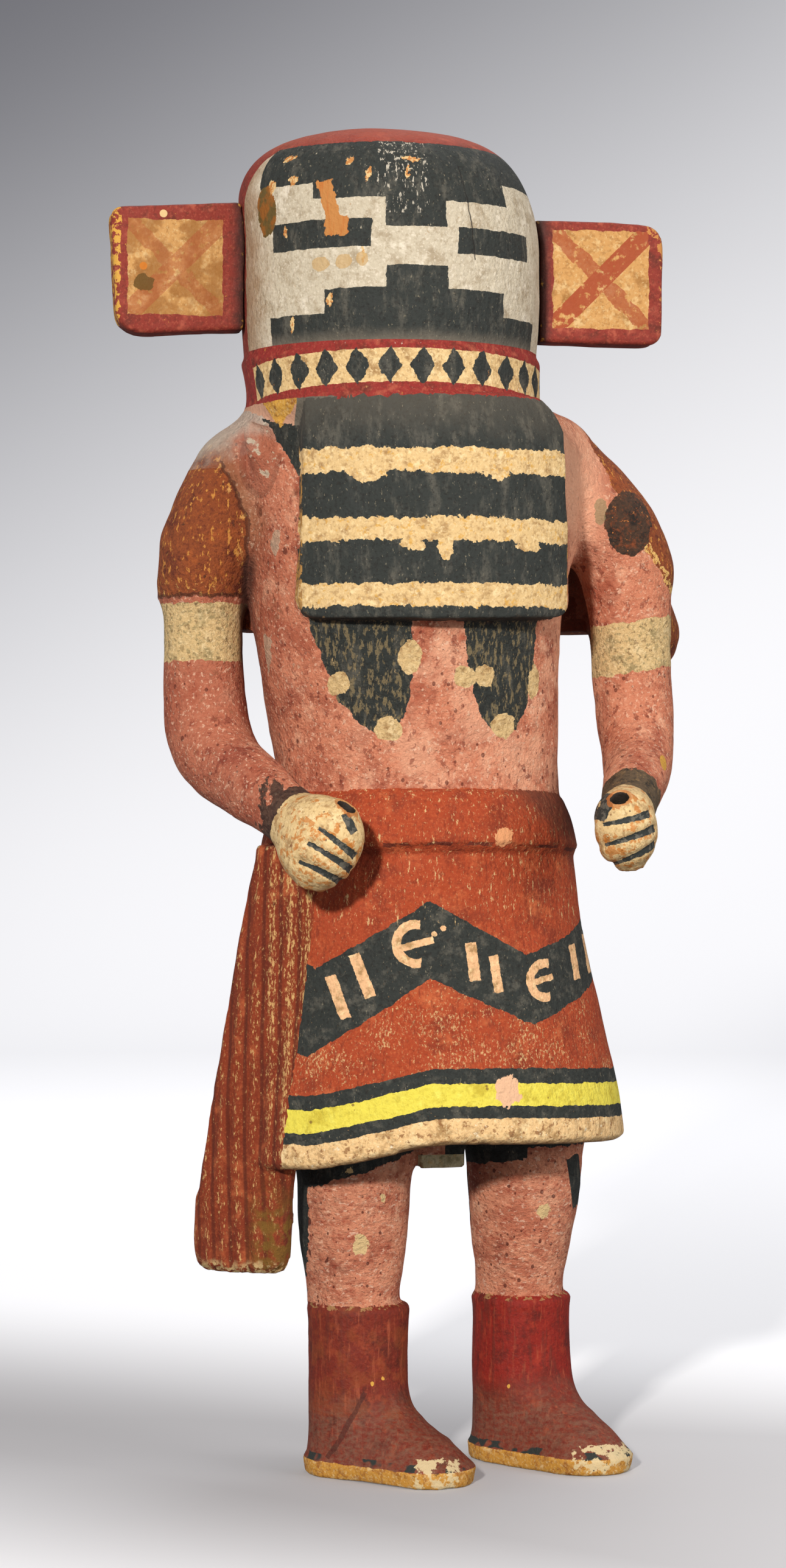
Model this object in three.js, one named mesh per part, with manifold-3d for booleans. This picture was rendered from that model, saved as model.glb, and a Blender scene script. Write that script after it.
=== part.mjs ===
import * as THREE from 'three';
import { mergeVertices } from 'three/addons/utils/BufferGeometryUtils.js';
import Module from 'manifold-3d';

const wasm = await Module();
wasm.setup();

// A carved standing doll with a round case mask. It faces -Y, +X is its own left, +Z is up.
// Every size is in millimetres.

// Levels, measured up from the floor
const dollHeight = 347.6;
const collarTop = 289;
const collarBottom = 277;
const bibTop = 277.5;
const bibBottom = 220.5;
const mantleBottom = 219;
const mantleTop = 278;
const beltTop = 174.5;
const beltHeight = 15;
const beltBottom = beltTop - beltHeight;
const hemLevel = 87.8;
const hemSag = { right: 12, left: 2.4 };
const sashTop = 163;
const sashBottom = 53.4;
const bootTop = 44;
const soleHeight = 4.3;

// The head and its collar
const headRadius = 38.9;
const collarStandOut = 0.2;
const collarTaper = 1;
const collarGroove = 0.8;
const domeHeight = 27;
const domePower = 3;
const domeLean = -2.5;

// The ear boards, set against the sides of the head. The drop is from its top to their middle
const earReach = { right: 72.8, left: 72.2 };
const earHeight = { right: 33, left: 32 };
const earThickness = 9.5;
const earEdge = 0.8;
const earTopCorner = { right: 3.5, left: 6.3 };
const earBottomCorner = { right: 7, left: 4.6 };
const earRise = { right: 23.5, left: 21.4 };
const earTilt = { right: 3.2, left: 0.4 };
const fittingGap = 0.3;

// The mantle's flaps over the upper arms
const flapThickness = 1.7;

// The bib, a slab that hangs from the collar over the chest
const bibMiddle = 6.6;
const bibHalfWidth = 34.8;
const bibCorner = 5;
const bibFront = 41.5;

// The belt roll
const beltStandOut = 3.4;

// The sash, a fluted board at the right hip
const sashThickness = 8;
const sashFacing = THREE.MathUtils.degToRad(-34);
const sashFlutes = 6;
const sashFluteDepth = 0.9;

// The fists and the bores that once held something
const fistBore = 4.8;
const fingerGrooveWidth = 1.3;
const fingerGrooveDepth = 0.13;
const fistHalf = {
  right: { across: 9.2, along: 12.2, tall: 12.4 },
  left: { across: 8.2, along: 11.2, tall: 10.9 },
};

// The boots
const shaftRadius = 13.5;
const soleLedge = 0.9;
const footLength = 24;
const toeRadius = 12;
const boots = {
  right: { x: -8.8, y: -2, turn: THREE.MathUtils.degToRad(39), drop: 2.2 },
  left: { x: 37, y: 10, turn: THREE.MathUtils.degToRad(34), drop: 1.4 },
};

// How finely the round forms are cut into flat faces
const bodySides = 32;
const headSides = 40;
const limbSides = 16;
const limbRows = 15;
const legSides = 20;
const legRows = 7;
const bootSides = 24;

// Values on a smooth curve through a table whose first column is the level
function valuesAt(table, level) {
  let low = 0;
  while (low < table.length - 2 && table[low + 1][0] < level) low += 1;
  const start = table[low];
  const end = table[low + 1];
  const before = table[Math.max(low - 1, 0)];
  const after = table[Math.min(low + 2, table.length - 1)];
  const span = end[0] - start[0];
  const t = (level - start[0]) / span;
  const values = [];
  for (let column = 1; column < start.length; column += 1) {
    const slopeIn = (end[column] - before[column]) / (end[0] - before[0]);
    const slopeOut = (after[column] - start[column]) / (after[0] - start[0]);
    const value =
      (2 * t ** 3 - 3 * t ** 2 + 1) * start[column]
      + (t ** 3 - 2 * t ** 2 + t) * span * slopeIn
      + (3 * t ** 2 - 2 * t ** 3) * end[column]
      + (t ** 3 - t ** 2) * span * slopeOut;
    values.push(value);
  }
  return values;
}

function evenLevels(from, to, count) {
  return Array.from({ length: count }, (_, i) => from + ((to - from) * i) / (count - 1));
}

// A closed skin over rings of points that all go round the same way
function skin(rings) {
  const sides = rings[0].length;
  const points = rings.flat();
  const firstMiddle = points.length;
  for (const ring of [rings[0], rings[rings.length - 1]]) {
    const middle = new THREE.Vector3();
    ring.forEach((point) => middle.add(point));
    points.push(middle.divideScalar(sides));
  }
  const faces = [];
  for (let i = 0; i < sides; i += 1) {
    const next = (i + 1) % sides;
    for (let row = 0; row < rings.length - 1; row += 1) {
      const lower = row * sides;
      const upper = lower + sides;
      faces.push(lower + i, lower + next, upper + next);
      faces.push(lower + i, upper + next, upper + i);
    }
    const lastRing = (rings.length - 1) * sides;
    faces.push(firstMiddle, next, i);
    faces.push(firstMiddle + 1, lastRing + i, lastRing + next);
  }
  const geometry = new THREE.BufferGeometry();
  const numbers = points.flatMap((point) => [point.x, point.y, point.z]);
  geometry.setAttribute('position', new THREE.Float32BufferAttribute(numbers, 3));
  geometry.setIndex(faces);
  return geometry;
}

// A rounded figure of the given half widths; a power of 2 is an ellipse, more is squarer
function roundRing(sides, halfWide, halfDeep, power, place) {
  const ring = [];
  for (let i = 0; i < sides; i += 1) {
    const angle = (2 * Math.PI * i) / sides;
    const across = Math.sign(Math.cos(angle)) * Math.abs(Math.cos(angle)) ** (2 / power);
    const deep = Math.sign(Math.sin(angle)) * Math.abs(Math.sin(angle)) ** (2 / power);
    ring.push(place(across * halfWide, deep * halfDeep));
  }
  return ring;
}

// An upright form. Table columns: level, middle x, middle y, half width, half depth.
// The sag lowers the rings on either side, the tilt raises them towards the front.
function upright(table, levels, sides, options = {}) {
  const { power = 2, sag = { right: 0, left: 0 }, frontTilt = 0 } = options;
  const rings = levels.map((level) => {
    const [midX, midY, halfWide, halfDeep] = valuesAt(table, level);
    const place = (x, y) => {
      const toLeft = x / halfWide;
      const drop = toLeft > 0 ? sag.left * toLeft ** 2 : sag.right * Math.min(0.6, Math.max(0, -toLeft - 0.1));
      return new THREE.Vector3(midX + x, midY + y, level - drop - (frontTilt * y) / halfDeep);
    };
    return roundRing(sides, halfWide, halfDeep, power, place);
  });
  return skin(rings);
}

// A limb along a curve. Stations: x, y, z, radius.
function limb(stations, rows, sides, thicker = 0) {
  const path = new THREE.CatmullRomCurve3(stations.map(([x, y, z]) => new THREE.Vector3(x, y, z)));
  const lastStation = stations.length - 1;
  const radii = stations.map((station, i) => [i / lastStation, station[3]]);
  const rings = evenLevels(0, 1, rows).map((t) => {
    const middle = path.getPoint(t);
    const along = path.getTangent(t);
    const across = new THREE.Vector3(1, 0, 0).addScaledVector(along, -along.x).normalize();
    const other = new THREE.Vector3().crossVectors(along, across);
    const radius = valuesAt(radii, t)[0] + thicker;
    const place = (u, v) => middle.clone().addScaledVector(across, u).addScaledVector(other, v);
    return roundRing(sides, radius, radius, 2, place);
  });
  return skin(rings);
}

// Solids for joining and cutting
function solid(geometry) {
  const bare = geometry.clone();
  bare.deleteAttribute('normal');
  bare.deleteAttribute('uv');
  const merged = mergeVertices(bare, 0.0001);
  const mesh = new wasm.Mesh({
    numProp: 3,
    vertProperties: new Float32Array(merged.attributes.position.array),
    triVerts: new Uint32Array(merged.index.array),
  });
  return new wasm.Manifold(mesh);
}

function joined(solids) {
  return solids.reduce((sum, next) => sum.add(next));
}

function surface(body) {
  const mesh = body.getMesh();
  const geometry = new THREE.BufferGeometry();
  geometry.setAttribute('position', new THREE.BufferAttribute(mesh.vertProperties, 3));
  geometry.setIndex(new THREE.BufferAttribute(mesh.triVerts, 1));
  geometry.computeVertexNormals();
  return geometry;
}

function block(from, to) {
  const size = new THREE.Vector3().subVectors(to, from);
  const geometry = new THREE.BoxGeometry(size.x, size.y, size.z);
  const middle = new THREE.Vector3().addVectors(from, to).divideScalar(2);
  return geometry.translate(middle.x, middle.y, middle.z);
}

// The head: a barrel under a dome, with the collar band standing out below a groove
function headForm(thicker = 0) {
  const domeStart = dollHeight - domeHeight;
  const rows = [
    [collarBottom - 12, headRadius - 6],
    [collarBottom - 6, headRadius - 3],
    [collarBottom - 1.5, headRadius - 0.3],
    [collarBottom, headRadius + collarStandOut - collarTaper],
    [collarTop - 0.8, headRadius + collarStandOut],
    [collarTop + 0.6, headRadius - collarGroove],
    [collarTop + 4.5, headRadius],
    [(collarTop + domeStart) / 2, headRadius + 0.2],
  ];
  const domeRows = 8;
  for (let i = 0; i < domeRows; i += 1) {
    const angle = (i / domeRows) * (Math.PI / 2);
    const rise = Math.sin(angle) ** (2 / domePower);
    const shrink = Math.cos(angle) ** (2 / domePower);
    rows.push([domeStart + domeHeight * rise, headRadius * shrink]);
  }
  const rings = rows.map(([level, radius]) => {
    const rise = Math.max(0, (level - domeStart) / domeHeight);
    const below = Math.max(0, (collarTop - level) / (collarTop - collarBottom));
    const midX = domeLean * Math.min(1, 2 * rise) + collarTaper * Math.min(1, below);
    const place = (x, y) => new THREE.Vector3(midX + x, y, level);
    return roundRing(headSides, radius + thicker, radius + thicker, 2, place);
  });
  return skin(rings);
}

// The trunk from inside the kilt up to the root of the neck
function trunkForm() {
  const table = [
    [140, 8.3, 0, 37.5, 28.5],
    [160, 7.8, 0, 37, 28.5],
    [177, 7.2, 0, 36.8, 29],
    [191, 6.4, 0, 37.5, 30],
    [204, 5.2, 0, 38.8, 31],
    [217, 4.4, 0, 40, 32],
    [235, 4.8, 0, 42.5, 33],
    [250, 5.4, 0, 45.5, 33],
    [261, 6, 0, 45, 32],
    [268, 6, 0, 43.5, 31.5],
    [273, 5.5, 0, 40, 32],
    [279, 2, 0, 35, 33],
  ];
  return upright(table, evenLevels(140, 279, 12), bodySides, { power: 2.2 });
}

function bibForm() {
  const table = [
    [bibBottom - 2, 7, 0, 46, bibFront - 1.5],
    [bibBottom + 8, 7, 0, 46, bibFront - 0.6],
    [245, 7, 0, 46, bibFront],
    [262, 7, 0, 46, bibFront - 0.2],
    [269, 6.2, 0, 45.5, bibFront - 0.6],
    [273.5, 5, 0, 44, bibFront - 1.4],
    [bibTop, 4, 0, 42, bibFront - 2.6],
  ];
  const levels = [...evenLevels(bibBottom - 2, 262, 5), 269, 273.5, bibTop];
  const slab = solid(upright(table, levels, bodySides, { power: 2.1 }));
  const outline = new THREE.Shape();
  const left = bibMiddle - bibHalfWidth;
  const right = bibMiddle + bibHalfWidth;
  outline.moveTo(left + 1.5, bibTop + 5);
  outline.lineTo(left, bibBottom + bibCorner);
  outline.quadraticCurveTo(left, bibBottom, left + bibCorner, bibBottom);
  outline.quadraticCurveTo(bibMiddle, bibBottom - 1.2, right - bibCorner, bibBottom + 0.6);
  outline.quadraticCurveTo(right, bibBottom + 0.6, right, bibBottom + bibCorner);
  outline.lineTo(right - 1, bibTop - 9);
  outline.quadraticCurveTo(right - 3, bibTop - 2, right - 10, bibTop + 1);
  outline.lineTo(right - 14, bibTop + 5);
  const cutter = new THREE.ExtrudeGeometry(outline, { depth: 60, bevelEnabled: false, curveSegments: 4 });
  return solid(cutter.rotateX(Math.PI / 2)).intersect(slab);
}

function beltForm() {
  const middle = (beltTop + beltBottom) / 2;
  const half = (beltTop - beltBottom) / 2;
  // Shares of the half height, and how far the roll stands out there
  const profile = [[-1.2, -2], [-1, 0.5], [-0.8, 1], [-0.3, 0.95], [0.4, 0.5], [1, -0.25], [1.1, -2]];
  const table = profile.map(([share, stand]) => {
    const out = beltStandOut * stand;
    return [middle + half * share, 7.6, 0, 38.2 + out, 31.6 + out];
  });
  const levels = table.map((row) => row[0]);
  return upright(table, levels, bodySides, { power: 2.1, frontTilt: 2.6 });
}

function kiltForm() {
  const table = [
    [hemLevel, 9.5, 0.5, 50.5, 39.5],
    [hemLevel + 1.6, 9.5, 0.5, 52.4, 41],
    [hemLevel + 12, 9.4, 0.4, 51.4, 40.2],
    [120, 8.8, 0.2, 46.9, 36.9],
    [148, 8, 0, 41.6, 33.6],
    [beltBottom, 7.7, 0, 41, 32.5],
    [beltTop - 4, 7.5, 0, 38, 30],
  ];
  const levels = [hemLevel, hemLevel + 1.6, ...evenLevels(hemLevel + 12, beltBottom, 5), beltTop - 4];
  return upright(table, levels, bodySides, { power: 2.1, sag: hemSag });
}

// The sash: flutes across the front, wider towards the foot, its back flat
function sashForm() {
  const facing = new THREE.Vector3(Math.sin(sashFacing), -Math.cos(sashFacing), 0);
  const lateral = new THREE.Vector3(Math.cos(sashFacing), Math.sin(sashFacing), 0);
  const table = [
    [sashBottom, -28.8, 26.6, 10.6],
    [sashBottom + 2, -28.8, 26.8, 12.3],
    [sashBottom + 6, -28.7, 27, 13.4],
    [72, -28, 27.4, 13.4],
    [86, -26, 28, 12.6],
    [110, -22.8, 27, 12],
    [136, -19.7, 25.6, 11],
    [sashTop, -15.6, 24.2, 9.4],
  ];
  const pointsAcross = sashFlutes * 3 + 1;
  const levels = [sashBottom, sashBottom + 2, sashBottom + 6, ...evenLevels(72, sashTop, 6)];
  const rings = levels.map((level) => {
    const [shift, forward, half] = valuesAt(table, level);
    const middle = facing.clone().multiplyScalar(forward).addScaledVector(lateral, shift);
    const ring = [];
    const add = (across, out) => {
      const point = middle.clone().addScaledVector(lateral, across * half).addScaledVector(facing, out);
      ring.push(new THREE.Vector3(point.x, point.y, level));
    };
    const front = level > sashBottom + 1 ? sashThickness : sashThickness - 1.5;
    for (let i = 0; i < pointsAcross; i += 1) {
      const across = (2 * i) / (pointsAcross - 1) - 1;
      const flute = i % 3 === 0 ? sashFluteDepth : 0;
      const crown = 2.6 * across ** 4 + 0.8 * across ** 2;
      add(across, front - crown - flute);
    }
    add(1, 0);
    add(0, -1);
    add(-1, 0);
    return ring;
  });
  return skin(rings);
}

// Arms. Stations: x, y, z, radius.
const rightArm = [
  [-31, 2, 262, 11],
  [-41.5, 2.5, 252, 11.6],
  [-47, 3, 240, 12],
  [-48.6, 3, 224, 10.7],
  [-48.7, 3, 207, 10.6],
  [-48.1, 2, 195, 11],
  [-45.8, -3, 186, 11],
  [-40, -13, 179.4, 9.5],
  [-31.5, -27, 171.7, 8.4],
  [-27, -34.5, 167, 8.2],
];
const leftArm = [
  [38, 2, 264, 10],
  [50, 3, 255, 12],
  [60.3, 3, 242, 12.4],
  [64.6, 3, 228, 11.8],
  [65, 3, 213, 11],
  [65.6, 2, 200, 10.9],
  [65.8, -2, 190, 10.2],
  [63.4, -12, 182.5, 9.2],
  [58, -26, 175.4, 7.8],
  [55.2, -35, 171, 7.4],
];

// A fist with its bore and finger grooves. The three axes: across the knuckles, away from
// the wrist, and up along the bore.
function fistSolid(side, middle, away, up) {
  const half = fistHalf[side];
  const across = new THREE.Vector3().crossVectors(away, up).normalize();
  const axes = new THREE.Matrix4().makeBasis(across, away, up).setPosition(middle);
  const shape = (scale) => {
    const ball = new THREE.SphereGeometry(1, 14, 8).rotateX(Math.PI / 2);
    const spots = ball.attributes.position;
    for (let i = 0; i < spots.count; i += 1) {
      const square = (value) => Math.sign(value) * Math.abs(value) ** 0.78;
      const wrist = 1 - 0.16 * Math.max(0, -spots.getY(i));
      spots.setXYZ(
        i,
        square(spots.getX(i)) * half.across * scale * wrist,
        square(spots.getY(i)) * half.along * scale,
        square(spots.getZ(i)) * half.tall * scale * wrist,
      );
    }
    return solid(ball.applyMatrix4(axes));
  };
  const boreLength = half.tall * 3;
  const bore = new THREE.CylinderGeometry(fistBore / 2, fistBore / 2, boreLength, 10);
  bore.rotateX(Math.PI / 2).translate(0, half.along * 0.3, 0).applyMatrix4(axes);
  let fist = shape(1).subtract(solid(bore));
  const core = shape(1 - fingerGrooveDepth);
  for (const share of [-0.52, -0.12, 0.28]) {
    const level = half.tall * share;
    const low = new THREE.Vector3(-20, -half.along * 0.25, level - fingerGrooveWidth / 2);
    const high = new THREE.Vector3(20, 20, level + fingerGrooveWidth / 2);
    const slice = solid(block(low, high).applyMatrix4(axes));
    fist = fist.subtract(slice.subtract(core));
  }
  return fist;
}

// A boot: level rings, each wrapped round the shaft's circle and a toe circle in front of it
function bootForm(side) {
  const { x: midX, y: midY, turn, drop } = boots[side];
  const forward = new THREE.Vector3(Math.sin(turn), -Math.cos(turn), 0);
  const ring = (level, heel, toe, reach) => {
    const points = [];
    for (let i = 0; i < bootSides; i += 1) {
      const angle = (2 * Math.PI * i) / bootSides;
      const outward = new THREE.Vector3(Math.cos(angle), Math.sin(angle), 0);
      const isToe = toe + reach * outward.dot(forward) > heel;
      const point = outward.clone().multiplyScalar(isToe ? toe : heel);
      if (isToe) point.addScaledVector(forward, reach);
      points.push(new THREE.Vector3(midX + point.x, midY + point.y, level));
    }
    return points;
  };
  const sole = [
    ring(0, shaftRadius + soleLedge - 0.8, toeRadius - 0.8, footLength),
    ring(1.2, shaftRadius + soleLedge, toeRadius, footLength),
    ring(soleHeight, shaftRadius + soleLedge, toeRadius, footLength),
    ring(soleHeight + 0.7, shaftRadius, toeRadius - soleLedge, footLength),
  ];
  // level, toe circle radius and reach of the upper, down the instep
  const instep = [
    [8, 10, 0.95],
    [11, 9, 0.84],
    [14, 8.4, 0.67],
    [17, 8.4, 0.49],
    [20, 9, 0.33],
    [24, 10.2, 0.16],
    [30, 12, 0.05],
  ];
  const upper = instep.map(([level, toe, share]) => {
    const lowered = level - (drop * (level - 8)) / 10;
    return ring(lowered, shaftRadius - 0.3, toe, footLength * share);
  });
  const shaft = [
    ring(36, shaftRadius - 0.2, shaftRadius - 0.2, 0),
    ring(bootTop - 1, shaftRadius - 0.1, shaftRadius - 0.1, 0),
    ring(bootTop, shaftRadius - 0.9, shaftRadius - 0.9, 0),
  ];
  return skin([...sole, ...upper, ...shaft]);
}

// The mantle over the back and shoulders, cut square below, open in front of the arms
function mantleSolid() {
  const table = [
    [mantleBottom, 12, 6, 65, 30],
    [232, 8.8, 6, 68.6, 31],
    [244, 7.3, 6, 65, 31],
    [256, 5.6, 6, 59, 30],
    [268, 4.6, 6, 50, 29],
    [mantleTop, 2, 6, 35, 29],
  ];
  const shell = solid(upright(table, evenLevels(mantleBottom, mantleTop, 7), bodySides));
  const behind = block(new THREE.Vector3(-90, 7, 200), new THREE.Vector3(100, 60, 300));
  return shell.intersect(solid(behind));
}

// The sloping shoulders, under the mantle and between the neck and the arms
function yokeForm() {
  const table = [
    [238, 7.5, 4, 57, 10],
    [250, 6.5, 4, 61, 13],
    [256, 5.6, 4, 61, 16],
    [262.5, 4.5, 4, 56, 20],
    [268, 4.2, 4, 51.8, 24],
    [271.5, 5.4, 4, 47.9, 26],
    [274, 6, 4, 44.8, 28],
    [276.5, 4.5, 4, 40, 30],
    [mantleTop, 2, 4, 35, 30],
  ];
  return upright(table, [238, 250, 260, 267, 271.5, 275, mantleTop], bodySides);
}

// The mantle's flaps over the upper arms, a little thicker than the arm
function flapSolid(arm, outline) {
  const sleeve = solid(limb(arm, limbRows, limbSides, flapThickness));
  const keep = new THREE.ExtrudeGeometry(outline, { depth: 60, bevelEnabled: false, curveSegments: 5 });
  return sleeve.intersect(solid(keep.rotateX(Math.PI / 2).translate(0, 30, 0)));
}

function rightFlap() {
  const outline = new THREE.Shape();
  outline.moveTo(-80, 268);
  outline.lineTo(-80, 227.4);
  outline.lineTo(-56, 226.2);
  outline.quadraticCurveTo(-38.5, 226.4, -37.5, 239);
  outline.quadraticCurveTo(-39, 247, -45, 254);
  outline.lineTo(-48.5, 266);
  return flapSolid(rightArm, outline);
}

function leftFlap() {
  const outline = new THREE.Shape();
  outline.moveTo(90, 268);
  outline.lineTo(50, 268);
  outline.quadraticCurveTo(63, 256, 67, 243);
  outline.quadraticCurveTo(73, 237, 78, 228.5);
  outline.lineTo(90, 227);
  return flapSolid(leftArm, outline);
}

// Rounded lobes of the mantle: centre, half sizes, and the lean of the long axis
function lobeSolid(middle, half, lean) {
  const ball = new THREE.SphereGeometry(1, 12, 8).rotateX(Math.PI / 2);
  ball.scale(...half).rotateY(THREE.MathUtils.degToRad(lean)).translate(...middle);
  return solid(ball);
}

function lobes() {
  return [
    lobeSolid([-36.6, -15, 264.5], [4.6, 4, 9.5], -20),
    lobeSolid([60, -8, 246], [5.6, 3.6, 8.6], 8),
    lobeSolid([74, 12, 219.5], [7.2, 9, 11], -4),
  ];
}

const rightLeg = [
  [-9.9, -2, 38, 11.5],
  [-10, -2, 48, 12.3],
  [-10.3, -1.6, 62, 14.1],
  [-9.8, -1, 78, 15.6],
  [-9.4, -1, 98, 16],
];
const leftLeg = [
  [36.4, 10, 38, 11.2],
  [36.6, 10, 48, 11.9],
  [36.9, 9, 62, 14],
  [37.4, 8, 78, 15.6],
  [37.4, 8, 98, 16],
];

function figureSolid() {
  const rightFist = fistSolid(
    'right',
    new THREE.Vector3(-25.2, -41, 164.6),
    new THREE.Vector3(0.492, -0.74, -0.46).normalize(),
    new THREE.Vector3(0.353, -0.313, 0.88).normalize(),
  );
  const leftFist = fistSolid(
    'left',
    new THREE.Vector3(52.8, -43, 168),
    new THREE.Vector3(-0.25, -0.84, -0.47).normalize(),
    new THREE.Vector3(-0.256, -0.412, 0.875).normalize(),
  );
  const pieces = [
    solid(trunkForm()),
    solid(headForm()),
    mantleSolid(),
    solid(yokeForm()),
    rightFlap(),
    leftFlap(),
    ...lobes(),
    solid(kiltForm()),
    solid(beltForm()),
    bibForm(),
    solid(sashForm()),
    solid(limb(rightArm, limbRows, limbSides)),
    solid(limb(leftArm, limbRows, limbSides)),
    rightFist,
    leftFist,
    solid(block(new THREE.Vector3(6.5, -8, 79), new THREE.Vector3(18.5, 14, hemLevel + 4))),
    solid(limb(rightLeg, legRows, legSides)),
    solid(limb(leftLeg, legRows, legSides)),
    solid(bootForm('right')),
    solid(bootForm('left')),
  ];
  return joined(pieces);
}

// An ear board: a flat board with rounded outer corners, hollowed to fit the head
function earSolid(side) {
  const half = earHeight[side] / 2;
  const reach = earReach[side];
  const root = headRadius * 0.8;
  const outline = new THREE.Shape();
  outline.moveTo(root, -half);
  outline.lineTo(reach - earBottomCorner[side], -half);
  outline.quadraticCurveTo(reach, -half, reach, -half + earBottomCorner[side]);
  outline.lineTo(reach, half - earTopCorner[side]);
  outline.quadraticCurveTo(reach, half, reach - earTopCorner[side], half);
  outline.lineTo(root, half);
  const flatThickness = earThickness - 2 * earEdge;
  const board = new THREE.ExtrudeGeometry(outline, {
    depth: flatThickness,
    bevelSize: earEdge,
    bevelThickness: earEdge,
    bevelOffset: -earEdge,
    bevelSegments: 1,
    curveSegments: 5,
  });
  board.translate(-headRadius, 0, -flatThickness / 2).rotateX(Math.PI / 2);
  board.rotateY(THREE.MathUtils.degToRad(earTilt[side])).translate(headRadius, 0, 0);
  if (side === 'right') board.rotateZ(Math.PI);
  board.translate(0, 0, collarTop + earRise[side]);
  return solid(board).subtract(solid(headForm(fittingGap * 1.15)));
}

const paint = {
  figure: new THREE.MeshStandardMaterial({ color: 0xb56a55, roughness: 0.9, metalness: 0 }),
  ear: new THREE.MeshStandardMaterial({ color: 0x7d2f22, roughness: 0.9, metalness: 0 }),
};

function named(name, body, material) {
  const mesh = new THREE.Mesh(surface(body), material);
  mesh.name = name;
  return mesh;
}

const group = new THREE.Group();
group.add(named('figure', figureSolid(), paint.figure));
group.add(named('ear_right', earSolid('right'), paint.ear));
group.add(named('ear_left', earSolid('left'), paint.ear));

// The origin is on the floor, under the middle of the whole doll
const whole = new THREE.Box3().setFromObject(group);
const centre = whole.getCenter(new THREE.Vector3());
group.position.set(-centre.x, -centre.y, -whole.min.z);

export default group;
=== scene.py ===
import itertools
import math

import bmesh
import bpy
import numpy as np
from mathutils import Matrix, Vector
from mathutils.kdtree import KDTree


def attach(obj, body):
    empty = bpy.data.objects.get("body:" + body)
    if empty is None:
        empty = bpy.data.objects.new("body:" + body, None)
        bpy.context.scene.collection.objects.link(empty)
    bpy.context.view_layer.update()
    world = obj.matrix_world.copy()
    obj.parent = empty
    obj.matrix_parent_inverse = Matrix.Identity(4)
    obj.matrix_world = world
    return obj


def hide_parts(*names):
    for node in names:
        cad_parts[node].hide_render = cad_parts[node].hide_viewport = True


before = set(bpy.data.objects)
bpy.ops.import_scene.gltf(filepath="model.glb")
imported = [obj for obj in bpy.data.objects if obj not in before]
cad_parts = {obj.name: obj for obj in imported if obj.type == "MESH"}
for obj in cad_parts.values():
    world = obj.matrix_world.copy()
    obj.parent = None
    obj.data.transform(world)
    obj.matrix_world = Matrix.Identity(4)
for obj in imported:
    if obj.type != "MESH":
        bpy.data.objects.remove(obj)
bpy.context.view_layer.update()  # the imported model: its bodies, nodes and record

# Lengths below are in millimetres. X and Y are counted from the head's upright axis, Z from
# the floor: -Y is the front, +X the doll's own left.
MM = 0.001


def node_points(name):
    """The points of a CAD node in millimetres, in the frame's own axes."""
    return np.array([v.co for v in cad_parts[name].data.vertices]) / MM


COLLAR_TOP = 289.0
COLLAR_BOTTOM = 277.0
HEAD_RADIUS = 38.9
MANTLE_BOTTOM = 219.0
BELT_TOP = 174.5
BELT_BOTTOM = 159.5
BOOT_TOP = 44.0
SOLE = 4.3

figure_points = node_points("figure")
groove_ring = figure_points[(figure_points[:, 2] > COLLAR_TOP) & (figure_points[:, 2] < COLLAR_TOP + 6)]
AXIS = (groove_ring.min(0) + groove_ring.max(0)) / 2
AXIS[2] = 0

# The way both feet point, the place between them, and how far each toe reaches that way
TOE_TURN = math.radians(37)
TOE_WAY = (math.sin(TOE_TURN), -math.cos(TOE_TURN))
BETWEEN_FEET = 13
boots = figure_points[figure_points[:, 2] < BOOT_TOP] - AXIS
on_right = boots[:, 0] < BETWEEN_FEET
TOE_REACH = [(boots[here] @ np.array([*TOE_WAY, 0])).max() for here in (on_right, ~on_right)]

# How finely the carved skin is cut
FINE_CELL = 0.7
MOST_TRIANGLES = 196000


# Forms of the figure that the relief and the paint refer to

# Kilt: middle and half width at the hem, the hem's level, and how far it sags
KILT_MIDDLE = 9.5
KILT_HALF = 50.5
HEM_LEVEL = 87.8
HEM_SAG_RIGHT = 12.0
HEM_SAG_LEFT = 2.4

# Bib: the middle, half width and bottom of the slab
BIB_MIDDLE = 6.6
BIB_HALF = 34.8
BIB_BOTTOM = 220.5

# Trunk: level, middle x, half width, half depth
TRUNK = np.array([
    [140, 8.3, 37.5, 28.5],
    [177, 7.2, 36.8, 29],
    [204, 5.2, 38.8, 31],
    [217, 4.4, 40, 32],
    [235, 4.8, 42.5, 33],
    [250, 5.4, 45.5, 33],
    [261, 6, 45, 32],
    [273, 5.5, 40, 32],
    [279, 2, 35, 33],
])

# The belt's edges fall towards the back by this share
BELT_SLOPE = 2.6 / 31.6

# Sash: level, shift across, distance out, half width, with the way that it faces
SASH_FACING = math.radians(-34)
SASH = np.array([
    [53.4, -28.8, 26.6, 10.6],
    [60, -28.7, 27, 13.4],
    [72, -28, 27.4, 13.4],
    [86, -26, 28, 12.6],
    [110, -22.8, 27, 12],
    [136, -19.7, 25.6, 11],
    [163, -15.6, 24.2, 9.4],
])

# Arms: x, y, z and radius down the limb
RIGHT_ARM = np.array([
    [-41.5, 2.5, 252, 11.6],
    [-47, 3, 240, 12],
    [-48.6, 3, 224, 10.7],
    [-48.7, 3, 207, 10.6],
    [-48.1, 2, 195, 11],
    [-45.8, -3, 186, 11],
    [-40, -13, 179.4, 9.5],
    [-31.5, -27, 171.7, 8.4],
    [-27, -34.5, 167, 8.2],
])
LEFT_ARM = np.array([
    [50, 3, 255, 12],
    [60.3, 3, 242, 12.4],
    [64.6, 3, 228, 11.8],
    [65, 3, 213, 11],
    [65.6, 2, 200, 10.9],
    [65.8, -2, 190, 10.2],
    [63.4, -12, 182.5, 9.2],
    [58, -26, 175.4, 7.8],
    [55.2, -35, 171, 7.4],
])

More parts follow.
